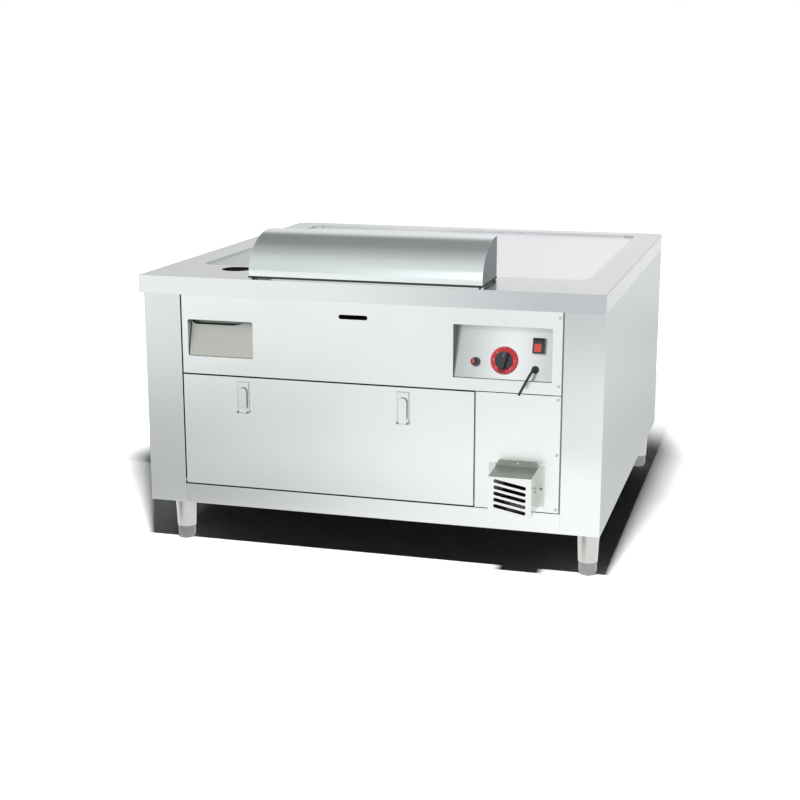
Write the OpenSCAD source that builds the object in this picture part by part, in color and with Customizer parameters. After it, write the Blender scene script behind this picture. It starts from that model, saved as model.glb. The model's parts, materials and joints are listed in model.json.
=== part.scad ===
// Electric teppanyaki grill table: stainless cabinet on bullet feet, sunk cooking plate, curved fume
// hood over a suction slot, scrap drawer, tilted control plate and a fan bay with a slotted cowl.
// Millimetres, +Z up. The origin lies on the floor below the centre of the outer box.

/* [Worktop] */
// Worktop width, left to right
top_w = 1300; // [1240:10:1500]
// Worktop depth, front to back
top_d = 1350; // [1250:10:1600]
// Height of the worktop above the floor
top_h = 800; // [780:5:900]
// Height of the skirt folded down round the worktop
band_h = 50; // [44:1:60]
// Overhang of the skirt beyond the cabinet front
front_overhang = 10; // [6:1:16]
// Overhang of the skirt beyond the cabinet's left side
left_overhang = 10; // [6:1:16]
// Radius of the two rear corners
rear_corner_r = 35; // [20:1:60]
// Thickness of the stainless sheet
sheet = 1.5; // [1:0.1:2]

/* [Cooking plate] */
// Width of the worktop border left and right of the plate
rim_side = 85; // [70:1:120]
// Width of the worktop border in front of the plate
rim_front = 240; // [236:1:300]
// Width of the worktop border behind the plate
rim_back = 75; // [60:1:120]
// Thickness of the steel plate
plate_t = 16; // [10:1:25]
// Depth of the plate's face below the worktop
plate_drop = 6; // [4:1:12]
// Corner radius of the opening over the plate
plate_corner_r = 40; // [20:1:80]
// Diameter of the tubular heating elements
element_d = 8.5; // [6.5:0.5:12]
// Thickness of the insulation below the elements
insulation_t = 50; // [30:1:60]

/* [Cabinet] */
// Height of the cabinet's underside above the floor
leg_h = 150; // [130:1:170]
// Width of the two front stiles
stile_w = 108; // [90:1:130]
// Height of the bottom rail
rail_h = 55; // [45:1:70]
// Height of the upper front fascia
fascia_h = 222; // [214:1:240]
// Width of the service panel in front of the fan bay
service_w = 228; // [210:1:250]
// Gap between neighbouring front panels
panel_gap = 4; // [3:0.5:6]

/* [Fume hood] */
// Length of the hood
hood_w = 650; // [560:10:680]
// Depth of the hood, front to back
hood_d = 172; // [160:1:190]
// Height of the hood above the worktop
hood_h = 120; // [112:1:150]
// Distance of the hood's front from the worktop's front edge
hood_setback = 8; // [4:1:16]
// Shadow gap between the hood's lower edge and the worktop
hood_gap = 6; // [5:0.5:9]

/* [Scrap drawer] */
// Width of the drawer opening
drawer_w = 192; // [150:1:210]
// Height of the drawer opening
drawer_h = 102; // [80:1:110]
// Length of the drawer's tray
drawer_d = 300; // [260:5:400]
// Distance of the drawer opening from the fascia's left edge
drawer_inset = 17; // [12:1:40]
// Distance of the drawer opening above the fascia's lower edge
drawer_rise = 50; // [30:1:56]
// Diameter of the scrap hole in the worktop
scrap_hole_d = 86; // [60:1:90]

/* [Controls] */
// Width of the control recess
recess_w = 265; // [250:1:280]
// Height of the control recess
recess_h = 143; // [135:1:150]
// Depth of the tilted control plate at its lower edge
recess_low = 8.5; // [6:0.5:14]
// Depth of the tilted control plate at its upper edge
recess_deep = 50; // [30:1:60]
// Distance of the recess from the fascia's right edge
recess_inset = 26; // [22:1:40]
// Diameter of the thermostat dial
dial_d = 75; // [50:1:80]
// Diameter of the supply cord
cord_d = 7; // [5:0.5:9]

/* [Vent cowl] */
// Width of the cowl
cowl_w = 114; // [100:1:130]
// Height of the cowl
cowl_h = 110; // [100:1:130]
// Projection of the cowl from the service panel
cowl_depth = 92; // [60:1:110]
// Number of slots in the cowl's front
slot_count = 5; // [3:1:5]
// Slant of the slots, degrees
slot_slant = 11; // [0:1:15]

/* [Latches] */
// Width of a latch's base plate
latch_w = 32; // [26:1:40]
// Height of a latch's base plate
latch_h = 87; // [70:1:110]
// Distance of the left latch from the door's left edge
latch_inset_left = 178; // [100:1:220]
// Distance of the right latch from the door's right edge
latch_inset_right = 196; // [100:1:220]

/* [Feet] */
// Diameter of the leg sleeve at the top
sleeve_d = 60; // [50:1:70]
// Diameter of the adjustable glide
glide_d = 50; // [42:1:56]
// Height of the glide below the sleeve
glide_h = 38; // [30:1:50]

/* [Fan] */
// Diameter of the impeller
impeller_d = 150; // [120:1:156]
// Width of the fan housing
fan_w = 80; // [60:1:90]
// Number of blades
blade_count = 24; // [12:1:36]

/* [Hidden] */
$fn = 64;
eps = 1;
run_gap = 0.5;
seat = 0.3;
bore_gap = 0.1;

steel = [0.88, 0.90, 0.90];
steel_dark = [0.62, 0.64, 0.63];
iron = [0.36, 0.35, 0.33];
black = [0.07, 0.08, 0.08];
red = [0.80, 0.10, 0.12];
wool = [0.78, 0.74, 0.62];

// Outer planes of the worktop and the cabinet below it
cowl_proj = cowl_depth - front_overhang;
y_front = -(top_d - cowl_proj) / 2;
y_back = y_front + top_d;
x_left = -top_w / 2;
x_right = top_w / 2;
face_y = y_front + front_overhang;
rear_y = face_y + sheet;
cab_left = x_left + left_overhang;
cab_right = x_right;
cab_top = top_h - band_h;
cab_d = y_back - face_y;
floor_z = leg_h + sheet;
rail_top = leg_h + rail_h;
fascia_z = cab_top - fascia_h;
top_under = top_h - sheet;

// Front panels between the stiles
jamb_d = 18;
backing_w = 20;
backing_lap = 18;
rear_return = 60;
front_left = cab_left + stile_w + panel_gap;
front_right = cab_right - stile_w - panel_gap;
service_left = front_right - service_w;
service_mid = (service_left + front_right) / 2;
service_z = rail_top + panel_gap / 2;
service_top = fascia_z - panel_gap / 2;
return_d = 12;
divider_set = 3;
divider_drop = 15;
divider_x = service_left - (panel_gap + sheet) / 2;

// Opening over the cooking plate, the plate and the frame below it
plate_margin = 12;
dish_x = x_right - rim_side;
dish_y0 = y_front + rim_front;
dish_y1 = y_back - rim_back;
plate_top = top_h - plate_drop;
plate_under = plate_top - plate_t;
angle_w = 40;
angle_t = 4;
frame_inset = 5;
frame_x = dish_x + plate_margin - frame_inset;
frame_y0 = dish_y0 - plate_margin + frame_inset;
frame_y1 = dish_y1 + plate_margin - frame_inset;
base_front = face_y + jamb_d + run_gap;
base_gap = 12;
base_back = y_back - sheet - base_gap;

// Heating elements, their clamp bars and the insulation
hairpin_count = 6;
element_side = 32;
hairpin_pitch = 2 * (frame_x - element_side) / hairpin_count;
hairpin_r = hairpin_pitch / 4;
element_z = plate_under - seat - element_d / 2;
element_front = 60;
element_back = 110;
element_y0 = frame_y0 + element_front;
element_y1 = frame_y1 - element_back;
clamp_w = 20;
clamp_t = 4;
clamp_count = 3;
clamp_top = element_z - element_d / 2 - seat;
tray_inset = angle_t * 2 + run_gap;
tray_x = frame_x - tray_inset;
tray_y0 = frame_y0 + tray_inset;
tray_y1 = frame_y1 - tray_inset;
wool_top = clamp_top - clamp_t - run_gap;
wool_z = wool_top - insulation_t;

// Fume hood: the curve is a tight arc that runs into a wide one, then a short flat
hood_r1 = 70;
hood_turn = 50;
hood_lap = 4;
hood_flat = 18;
hood_r2 = (hood_d - hood_flat - hood_r1 * (1 - cos(hood_turn))) / cos(hood_turn);
hood_top = hood_h - hood_gap;
hood_straight = hood_top - hood_r1 * sin(hood_turn) - hood_r2 * (1 - sin(hood_turn));
hood_z = top_h + hood_gap;
hood_y = y_front + hood_setback;
hood_x = hood_w / 2;
hood_c1 = [hood_r1, hood_straight];
hood_c2 = hood_c1 + (hood_r2 - hood_r1) * [cos(hood_turn), -sin(hood_turn)];
rod_d = 7;
pivot_in = 8;
pivot_up = 14;
pivot_y = hood_y + pivot_in;
pivot_z = hood_z + pivot_up;
bracket_t = 4;
bracket_in = 14;
bracket_x = hood_x - bracket_in;
eye_wall = 2.5;
neck_back = 18;
neck_w = 8;
foot_len = 22;
rest_d = 12;
rest_in = 12;
rest_y = hood_y + hood_d - rest_in;

// Suction slot, grease filter, plenum and duct down to the fan
suction_side = 40;
suction_front = 45;
suction_back = 20;
suction_x = hood_x - suction_side;
suction_y0 = y_front + suction_front;
suction_y1 = hood_y + hood_d - suction_back;
flange_w = 10;
filter_gap = 2;
filter_h = 26;
slat_pitch = 28;
slat_t = 1.2;
slat_w = 20;
slat_tilt = 35;
plenum_side = 15;
plenum_front = 9;
plenum_back = 12;
plenum_x = suction_x + plenum_side;
plenum_y0 = suction_y0 - plenum_front;
plenum_y1 = suction_y1 + plenum_back;
plenum_h = 76;
plenum_z = top_under - plenum_h;
duct_w = 100;
duct_side = 70;
duct_front = 48;
duct_back = 12;
duct_x = plenum_x - duct_w - duct_side;
duct_y0 = rear_y + duct_front;
duct_y1 = plenum_y1 - duct_back;
elbow_margin = 6;

// Fan: a scroll of three quarter arcs on the corners of a small square, then a straight outlet
fan_t = 1.2;
scroll_step = 12;
scroll_half = scroll_step / 2;
scroll_gap = 15;
scroll_r = impeller_d / 2 + scroll_gap;
outlet_h = 86;
fan_back = 198;
fan_y = rear_y + fan_back;
fan_low = scroll_half + scroll_r + 2 * scroll_step;
cowl_rise = 10;
fan_z = service_z + cowl_rise + (cowl_h - outlet_h) / 2 + fan_low;
fan_x0 = service_mid - fan_w / 2;
fan_x1 = service_mid + fan_w / 2;
inlet_lap = 19.5;
inlet_r = impeller_d / 2 - inlet_lap;
shaft_d = 8;
motor_d = 90;
motor_len = 60;
motor_lip = 10;
motor_lip_t = 4;
impeller_side = 8;
disc_t = 2;
hub_len = 20;
blade_lap = 1;
blade_t = 1.2;
blade_len = 15;
blade_lean = 25;

// Vent cowl
cowl_t = 1.2;
cowl_x0 = service_mid - cowl_w / 2;
cowl_x1 = service_mid + cowl_w / 2;
cowl_z = service_z + cowl_rise;
cowl_top = cowl_z + cowl_h;
cowl_top_drop = 4;
tab_w = 19;
tab_margin = 5;
tab_r = 8;
top_tab_h = 18;
slot_len = cowl_w - 26;
slot_high = 10;
slot_pitch = cowl_h / 6.5;

// Rivets of the cowl: three through its tabs, one through each side wall
rivet_d = 3.2;
rivet_head_d = 7;
rivet_top_d = 5;
rivet_head_t = 1.5;
rivet_len = 4.2;
rivet_z = cowl_z + cowl_h / 2;
wall_rivet_y = face_y - 0.4 * cowl_depth;
tab_rivets = [
    [cowl_x0 - tab_w / 2, rivet_z], [cowl_x1 + tab_w / 2, rivet_z],
    [(cowl_x0 + tab_margin + cowl_x1) / 2, cowl_top + top_tab_h / 2],
];

// Scrap drawer
drawer_x0 = front_left + drawer_inset;
drawer_x1 = drawer_x0 + drawer_w;
drawer_z0 = fascia_z + drawer_rise;
drawer_z1 = drawer_z0 + drawer_h;
drawer_r = 6;
front_gap = 1.5;
front_set = 3;
front_lean = 29;
front_tilt = atan(front_lean / drawer_h);
front_t = 2;
notch_depth = 16;
notch_flat = 119;
notch_r_left = 14;
notch_r_right = 65;
tray_gap = drawer_r - 1;
tray_drop = 8;
tray_top = drawer_z1 - notch_depth - tray_drop;
tray_back = face_y + front_set + drawer_d;
cradle_extra = 25;
hole_shift = 13;
hole_front = 178;
hole_x = drawer_x0 + drawer_w / 2 - hole_shift;
hole_y = y_front + hole_front;
chute_bottom = tray_top + tray_drop;

// Ventilation slot in the fascia
vent_len = 81;
vent_high = 12;
vent_x = -30;
vent_drop = 42;
vent_z = cab_top - vent_drop;

// Control recess and the tilted plate in it
recess_x1 = front_right - recess_inset;
recess_x0 = recess_x1 - recess_w;
recess_rise = 33;
recess_z0 = fascia_z + recess_rise;
recess_z1 = recess_z0 + recess_h;
plate_tilt = atan((recess_deep - recess_low) / recess_h);
plate_run = sheet / cos(plate_tilt);
dial_at = [134, 48];
pilot_at = [57, 41];
rocker_at = [225, 89];
gland_at = [218, 29];
dial_t = 5;
dial_taper = 4;
grip_d = 47;
grip_base = 5;
grip_high = 17;
grip_w = 16.5;
grip_taper = 4;
grip_turn = 12;
spindle_d = 6;
spindle_bush = 10;
thermostat_w = 46;
thermostat_t = 32;
rocker_w = 32;
rocker_h = 41;
rocker_high = 14;
rocker_wall = 3.5;
rocker_lip = 2;
rocker_back = 20;
rocker_axle = 8.5;
rocker_proud = 2.5;
axle_d = 3;
axle_in = 1;
rocker_side_gap = 0.5;
rocker_end_gap = 1.5;
rocker_deep = 4;
rocker_dip = 3;
rocker_lean = 7;
pilot_d = 26;
pilot_taper = 7;
pilot_high = 20;
pilot_stem = 16;
pilot_tail = 12;
lens_d = 16;
lens_seat = 3;
lens_dome = 4.5;
lens_taper = 6;
gland_d = 20;
gland_flange = 4;
gland_stem = 12;
gland_tail = 8;
boot_d = 15;
boot_len = 22;
boot_wall = 1;
boot_root = 0.5;
boot_steps = 6;

// Line of the boot and the free cord: out of the plate, over a bend, then straight
droop_r = 4.6 * cord_d;
droop_turn = 80;
droop_aside = 0.41;
cord_free = 76;
cord_steps = 13;
cord_sides = 10;

// Access door, hinged at its lower edge
door_x0 = front_left;
door_x1 = service_left - panel_gap;
door_z0 = rail_top + panel_gap;
door_z1 = fascia_z - panel_gap;
door_d = 18;
pin_d = 6;
pin_in = 6;
pin_up = 8;
door_pin_y = face_y + pin_in;
door_pin_z = door_z0 + pin_up;

// Lever latches on the door
latch_drop = 13;
latch_plate = 3;
latch_z0 = door_z1 - latch_drop - latch_h;
latch_mid = [door_x0 + latch_inset_left, door_x1 - latch_inset_right];
ear_w = 4;
ear_h = 16;
ear_out = 9;
lever_gap = 0.5;
lever_t = 5;
lever_w = latch_w - 2 * (ear_w + lever_gap);
lever_up = 64;
latch_pin_d = 4;
latch_pin_out = 4.5;
barrel_extra = 2;
latch_pin_y = face_y - latch_plate - latch_pin_out;
latch_pin_z = latch_z0 + ear_h / 2;

// Feet
leg_inset_side = 48;
leg_inset_front = 130;
leg_inset_back = 66;
leg_flange = 84;
leg_flange_t = 4;
sleeve_low_d = 54;
stem_d = 34;
stem_len = 64;
stem_play = 2;
sleeve_straight = 40;
glide_round = 14;
leg_x = [cab_left + leg_inset_side, cab_right - leg_inset_side];
leg_y = [face_y + leg_inset_front, y_back - leg_inset_back];

// Panel screws near the right edge of the fascia and the service panel
screw_head_d = 8;
screw_head_t = 2;
screw_top_d = 5.6;
screw_d = 3.5;
screw_len = 9;
screw_hole = screw_d + 2 * bore_gap;
screw_inset = 7;
screw_drop = 17;
screw_rise = 24;
screw_edge = 10;
screw_x = front_right - screw_inset;
screw_z = [
    cab_top - screw_drop, fascia_z + screw_rise,
    service_top - screw_edge, (service_z + service_top) / 2, service_z + screw_edge,
];

// Ventilation slots in the rear panel
louvre_count = 9;
louvre_pitch = 60;
louvre_len = 40;
louvre_high = 8;
louvre_drop = 90;
louvre_z = cab_top - louvre_drop;
back_x0 = cab_left + rear_corner_r + rear_return;
back_x1 = cab_right - rear_corner_r - rear_return;

// Terminal block on the divider
block_size = [34, 120, 56];
block_back = 190;
block_rise = 150;
block_y = fan_y + block_back;
block_z = leg_h + block_rise;
pole_count = 5;
pole_w = 14;
pole_edge = 10;

// Solid block between two opposite corners
module block(low, high) {
    translate(low) cube(high - low);
}

// Profile drawn in the Y-Z plane and run along X
module along_x(x0, x1) {
    translate([x0, 0, 0]) rotate([90, 0, 90]) linear_extrude(x1 - x0) children();
}

// Profile drawn in the X-Z plane and run along Y
module along_y(y0, y1) {
    translate([0, y1, 0]) rotate([90, 0, 0]) linear_extrude(y1 - y0) children();
}

// Bar of round section along X
module rod_x(x0, x1, y, z, d) {
    translate([x0, y, z]) rotate([0, 90, 0]) cylinder(d = d, h = x1 - x0);
}

// Rectangle between two corners with all corners rounded
module rounded(x0, y0, x1, y1, r) {
    translate([x0 + r, y0]) square([x1 - x0 - 2 * r, y1 - y0]);
    translate([x0, y0 + r]) square([x1 - x0, y1 - y0 - 2 * r]);
    for (x = [x0 + r, x1 - r], y = [y0 + r, y1 - r]) translate([x, y]) circle(r = r);
}

// Slot with round ends, centred
module obround(len, high) {
    square([len - high, high], center = true);
    for (side = [-1, 1]) translate([side * (len - high) / 2, 0]) circle(d = high);
}

// Rectangle whose two rear corners are rounded
module footprint(x0, y0, x1, y1, r) {
    translate([x0, y0]) square([x1 - x0, y1 - y0 - r]);
    translate([x0 + r, y0]) square([x1 - x0 - 2 * r, y1 - y0]);
    for (x = [x0 + r, x1 - r]) translate([x, y1 - r]) circle(r = r);
}

// Rectangular ring of angle iron, with the upright leg outside and the flat leg at z_flat
module angle_ring(x, y0, y1, z_flat, z0, z1) {
    difference() {
        block([-x, y0, z0], [x, y1, z1]);
        block([-x + angle_t, y0 + angle_t, z0 - eps], [x - angle_t, y1 - angle_t, z1 + eps]);
    }
    difference() {
        block([-x, y0, z_flat], [x, y1, z_flat + angle_t]);
        block([-x + angle_w, y0 + angle_w, z_flat - eps], [x - angle_w, y1 - angle_w, z_flat + 2 * angle_t]);
    }
}

module worktop() {
    t = sheet;
    color(steel) {
        difference() {
            translate([0, 0, top_under]) linear_extrude(sheet)
                footprint(x_left, y_front, x_right, y_back, rear_corner_r);
            translate([0, 0, top_under - eps]) linear_extrude(sheet + 2 * eps) {
                rounded(-dish_x, dish_y0, dish_x, dish_y1, plate_corner_r);
                translate([-suction_x, suction_y0]) square([2 * suction_x, suction_y1 - suction_y0]);
                translate([hole_x, hole_y]) circle(d = scrap_hole_d);
            }
        }
        translate([0, 0, cab_top]) linear_extrude(band_h - sheet) difference() {
            footprint(x_left, y_front, x_right, y_back, rear_corner_r);
            footprint(x_left + t, y_front + t, x_right - t, y_back - t, rear_corner_r - t);
        }
        translate([0, 0, cab_top]) linear_extrude(sheet) difference() {
            footprint(x_left, y_front, x_right, y_back, rear_corner_r);
            translate([cab_left + return_d, face_y + return_d])
                square([cab_right - cab_left - 2 * return_d, cab_d - 2 * return_d]);
        }
        translate([0, 0, plate_top]) linear_extrude(plate_drop - sheet) difference() {
            rounded(-dish_x - t, dish_y0 - t, dish_x + t, dish_y1 + t, plate_corner_r + t);
            rounded(-dish_x, dish_y0, dish_x, dish_y1, plate_corner_r);
        }
    }
}

module griddle_plate() {
    m = plate_margin;
    color(iron) translate([0, 0, plate_under]) linear_extrude(plate_t)
        rounded(-dish_x - m, dish_y0 - m, dish_x + m, dish_y1 + m, plate_corner_r + m);
}

module plate_frame() {
    color(steel_dark)
        angle_ring(frame_x, frame_y0, frame_y1, plate_under - angle_t, plate_under - angle_w, plate_under);
}

module base_frame() {
    color(steel_dark)
        angle_ring(frame_x, base_front, base_back, floor_z, floor_z, floor_z + angle_w);
}

module corner_posts() {
    z0 = floor_z + angle_t;
    z1 = plate_under - angle_t;
    x = frame_x - angle_t;
    color(steel_dark) for (side = [-1, 1], end = [0, 1]) {
        y = end == 0 ? frame_y0 + angle_t : frame_y1 - angle_t;
        translate([side * x, y, z0]) mirror([side > 0 ? 1 : 0, 0, 0]) mirror([0, end, 0]) {
            cube([angle_t, angle_w - angle_t, z1 - z0]);
            cube([angle_w - angle_t, angle_t, z1 - z0]);
        }
    }
}

module floor_panel() {
    inset = sheet + seat;
    color(steel_dark) translate([0, 0, leg_h]) linear_extrude(sheet)
        footprint(cab_left + inset, face_y + inset, cab_right - inset, y_back - inset, rear_corner_r - inset);
}

// Side wall in plan: front stile, wall, rear corner and rear return, outer face at x = 0
module side_plan() {
    r = rear_corner_r;
    square([stile_w, sheet]);
    square([sheet, cab_d - r]);
    translate([r, cab_d - r]) intersection() {
        difference() {
            circle(r = r);
            circle(r = r - sheet);
        }
        translate([-r, 0]) square(r);
    }
    translate([r, cab_d - sheet]) square([rear_return, sheet]);
}

module left_side_panel() {
    color(steel) difference() {
        union() {
            translate([cab_left, face_y, leg_h]) linear_extrude(cab_top - leg_h) side_plan();
            block([front_left - panel_gap - sheet, face_y, floor_z + seat],
                  [front_left - panel_gap, face_y + jamb_d, cab_top]);
        }
        rod_x(front_left - panel_gap - 2 * sheet, front_left, door_pin_y, door_pin_z, pin_d + 2 * bore_gap);
    }
}

module right_side_panel() {
    color(steel) difference() {
        union() {
            translate([cab_right, face_y, leg_h]) mirror([1, 0, 0])
                linear_extrude(cab_top - leg_h) side_plan();
            block(
                [front_right + panel_gap - backing_w, rear_y, rail_top],
                [front_right + panel_gap + backing_lap, rear_y + sheet, cab_top]
            );
        }
        screw_bores(screw_z);
    }
}

module back_panel() {
    color(steel) along_y(y_back - sheet, y_back) difference() {
        translate([back_x0, leg_h]) square([back_x1 - back_x0, cab_top - leg_h]);
        for (i = [0 : louvre_count - 1])
            translate([(back_x0 + back_x1) / 2 + (i - (louvre_count - 1) / 2) * louvre_pitch, louvre_z])
                obround(louvre_len, louvre_high);
    }
}

module bottom_rail() {
    x0 = cab_left + stile_w;
    x1 = cab_right - stile_w;
    color(steel) {
        block([x0, face_y, leg_h], [x1, rear_y, rail_top]);
        block([x0, face_y, rail_top - sheet], [x1, face_y + jamb_d, rail_top]);
    }
}

// Bores for the panel screws at the given heights
module screw_bores(heights) {
    for (z = heights) translate([screw_x, face_y - eps, z]) rotate([-90, 0, 0])
        cylinder(d = screw_hole, h = screw_len + 2 * eps);
}

module front_fascia() {
    color(steel) difference() {
        union() {
            block([front_left, face_y, fascia_z], [front_right, rear_y, cab_top]);
            block([front_left, face_y, fascia_z],
                  [front_right - backing_w, face_y + return_d, fascia_z + sheet]);
        }
        along_y(face_y - eps, rear_y + eps) {
            rounded(drawer_x0, drawer_z0, drawer_x1, drawer_z1, drawer_r);
            translate([vent_x, vent_z]) obround(vent_len, vent_high);
            translate([recess_x0, recess_z0]) square([recess_w, recess_h]);
        }
        screw_bores([screw_z[0], screw_z[1]]);
    }
}

module service_panel() {
    color(steel) difference() {
        union() {
            block([service_left, face_y, service_z], [front_right, rear_y, service_top]);
            block([service_left, face_y, service_z], [service_left + sheet, face_y + return_d, service_top]);
        }
        block([fan_x0 + fan_t, face_y - eps, fan_z - fan_low + fan_t],
              [fan_x1 - fan_t, rear_y + eps, fan_z - fan_low + outlet_h - fan_t]);
        screw_bores([screw_z[2], screw_z[3], screw_z[4]]);
        at_tab_rivets() rivet_bore();
    }
}

module panel_screws() {
    color(steel_dark) for (z = screw_z) translate([screw_x, face_y, z]) rotate([90, 0, 0]) {
        cylinder(d1 = screw_head_d, d2 = screw_top_d, h = screw_head_t);
        translate([0, 0, -screw_len]) cylinder(d = screw_d, h = screw_len);
    }
}

module bay_divider() {
    x1 = divider_x + sheet;
    color(steel_dark) difference() {
        union() {
            block([divider_x, base_front, floor_z + angle_w], [x1, y_back - sheet, recess_z0 - divider_drop]);
            block([divider_x, face_y + divider_set, rail_top + run_gap],
                  [x1, base_front + eps, fascia_z - run_gap]);
        }
        rod_x(divider_x - eps, x1 + eps, fan_y, fan_z, 2 * inlet_r);
        rod_x(divider_x - eps, x1 + eps, door_pin_y, door_pin_z, pin_d + 2 * bore_gap);
    }
}

module heating_elements() {
    x0 = -(hairpin_count - 1) / 2 * hairpin_pitch;
    color(iron) for (i = [0 : hairpin_count - 1]) translate([x0 + i * hairpin_pitch, 0, element_z]) {
        translate([0, element_y1, 0]) rotate_extrude(angle = 180)
            translate([hairpin_r, 0]) circle(d = element_d);
        for (side = [-1, 1]) translate([side * hairpin_r, element_y0, 0]) rotate([-90, 0, 0])
            cylinder(d = element_d, h = element_y1 - element_y0);
    }
}

module element_clamps() {
    step = (element_y1 - element_y0) / clamp_count;
    color(steel_dark) for (i = [0 : clamp_count - 1]) {
        y = element_y0 + (i + 0.5) * step;
        block([-frame_x + angle_t, y, clamp_top - clamp_t], [frame_x - angle_t, y + clamp_w, clamp_top]);
    }
}

module insulation_slab() {
    color(wool)
        block([-tray_x + sheet, tray_y0 + sheet, wool_z], [tray_x - sheet, tray_y1 - sheet, wool_top]);
}

module insulation_tray() {
    color(steel_dark) difference() {
        block([-tray_x, tray_y0, wool_z - sheet], [tray_x, tray_y1, wool_top]);
        block([-tray_x + sheet, tray_y0 + sheet, wool_z], [tray_x - sheet, tray_y1 - sheet, wool_top + eps]);
    }
}

module scrap_chute() {
    color(steel_dark) translate([hole_x, hole_y, chute_bottom]) difference() {
        cylinder(d = scrap_hole_d + 2 * sheet, h = top_under - chute_bottom);
        translate([0, 0, -eps]) cylinder(d = scrap_hole_d, h = top_under - chute_bottom + 2 * eps);
    }
}

module drawer_cradle() {
    x0 = drawer_x0 - run_gap;
    x1 = drawer_x1 + run_gap;
    y1 = tray_back + cradle_extra;
    color(steel_dark) {
        block([x0 - sheet, rear_y, drawer_z0 - sheet], [x1 + sheet, y1, drawer_z0]);
        for (x = [x0 - sheet, x1])
            block([x, rear_y, drawer_z0 - sheet], [x + sheet, y1, drawer_z1 + run_gap]);
        block([x0 - sheet, y1 - sheet, drawer_z0 - sheet], [x1 + sheet, y1, tray_top]);
    }
}

// Outline of the drawer front along its slope, with the finger notch in its top edge
module drawer_outline() {
    x0 = drawer_x0 + front_gap;
    high = (drawer_h - front_gap) / cos(front_tilt);
    low = high - notch_depth;
    flat0 = x0 + notch_r_left;
    flat1 = x0 + notch_flat;
    difference() {
        rounded(x0, front_gap, drawer_x1 - front_gap, high, drawer_r - front_gap);
        translate([flat0, low]) square([flat1 - flat0, notch_depth + eps]);
        translate([flat0, low + notch_r_left]) circle(r = notch_r_left);
        translate([x0 - eps, low + notch_r_left]) square([notch_r_left, notch_depth]);
        translate([flat1, low + notch_r_right]) circle(r = notch_r_right);
    }
}

// Side of the drawer's tray behind the leaning front, drawn in by the given amount
module tray_area(inset, over) {
    z0 = drawer_z0 + run_gap + inset;
    z1 = tray_top + over;
    front = [for (z = [z0, z1]) face_y + front_set + front_t / 2 + inset + (z - drawer_z0) * tan(front_tilt)];
    polygon([[front[0], z0], [tray_back - inset, z0], [tray_back - inset, z1], [front[1], z1]]);
}

module scrap_drawer() {
    x0 = drawer_x0 + tray_gap;
    x1 = drawer_x1 - tray_gap;
    color(steel_dark) {
        translate([0, face_y + front_set, drawer_z0]) rotate([-front_tilt, 0, 0])
            along_y(0, front_t) drawer_outline();
        difference() {
            along_x(x0, x1) tray_area(0, 0);
            along_x(x0 + sheet, x1 - sheet) tray_area(sheet, eps);
        }
    }
}

// Pie slice of a circle between two angles
module slice(centre, r, a0, a1) {
    far = 2 * r;
    intersection() {
        translate(centre) circle(r = r, $fn = 128);
        polygon([for (d = [[0, a0], [far, a0], [far, (a0 + a1) / 2], [far, a1]])
            centre + d[0] * [cos(d[1]), sin(d[1])]]);
    }
}

// Area under the hood's curve, seen from the right, drawn in by the given amount
module hood_area(inset, over) {
    turn = 180 - hood_turn;
    translate([inset, -over]) square([hood_d - inset + over, hood_straight + over]);
    slice(hood_c1, hood_r1 - inset, turn - hood_lap, 180);
    intersection() {
        slice(hood_c2, hood_r2 - inset, 90, turn);
        square([hood_d, hood_top]);
    }
    translate([hood_c2[0], -over]) square([hood_d - hood_c2[0] + over, hood_top - inset + over]);
}

module hood_shell() {
    color(steel) translate([0, hood_y, hood_z]) along_x(-hood_x, hood_x) difference() {
        hood_area(0, 0);
        hood_area(sheet, eps);
    }
}

module hood_end(x) {
    color(steel) translate([0, hood_y, hood_z]) along_x(x, x + sheet) intersection() {
        hood_area(sheet, eps);
        square([hood_d, hood_top]);
    }
}

module hood_hinge_rod() {
    color(steel_dark) rod_x(-hood_x + sheet, hood_x - sheet, pivot_y, pivot_z, rod_d);
}

module hood_hinge_brackets() {
    eye = rod_d / 2 + eye_wall;
    drop = pivot_z - top_h;
    color(steel_dark) for (side = [-1, 1]) translate([side * bracket_x, pivot_y, pivot_z])
        along_x(-bracket_t / 2, bracket_t / 2) difference() {
            union() {
                circle(r = eye);
                translate([0, -eye / 2]) square([neck_back, 1.5 * eye]);
                translate([neck_back, -drop]) square([neck_w, drop + eye]);
                translate([neck_back, -drop]) square([foot_len, bracket_t]);
            }
            circle(d = rod_d + 2 * bore_gap);
        }
}

module hood_rest_pads() {
    color(black) for (side = [-1, 1]) translate([side * (hood_x - rest_d / 2), rest_y, top_h])
        cylinder(d = rest_d, h = hood_gap - seat);
}

module grease_filter() {
    x = suction_x - filter_gap;
    y0 = suction_y0 + filter_gap;
    y1 = suction_y1 - filter_gap;
    z0 = top_h - filter_h;
    slat_count = floor((2 * x - 2 * slat_w) / slat_pitch);
    color(steel_dark) {
        difference() {
            union() {
                block([-x, y0, z0], [x, y1, top_h]);
                block([-x - flange_w, y0 - flange_w / 2, top_h],
                      [x + flange_w, y1 + flange_w / 2, top_h + sheet]);
            }
            block([-x + sheet, y0 + sheet, z0 - eps], [x - sheet, y1 - sheet, top_h + 2 * eps]);
        }
        for (i = [0 : slat_count]) translate([(i - slat_count / 2) * slat_pitch, 0, z0 + filter_h / 2])
            rotate([0, slat_tilt, 0])
                block([-slat_t / 2, y0 + sheet / 2, -slat_w / 2], [slat_t / 2, y1 - sheet / 2, slat_w / 2]);
    }
}

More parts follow.
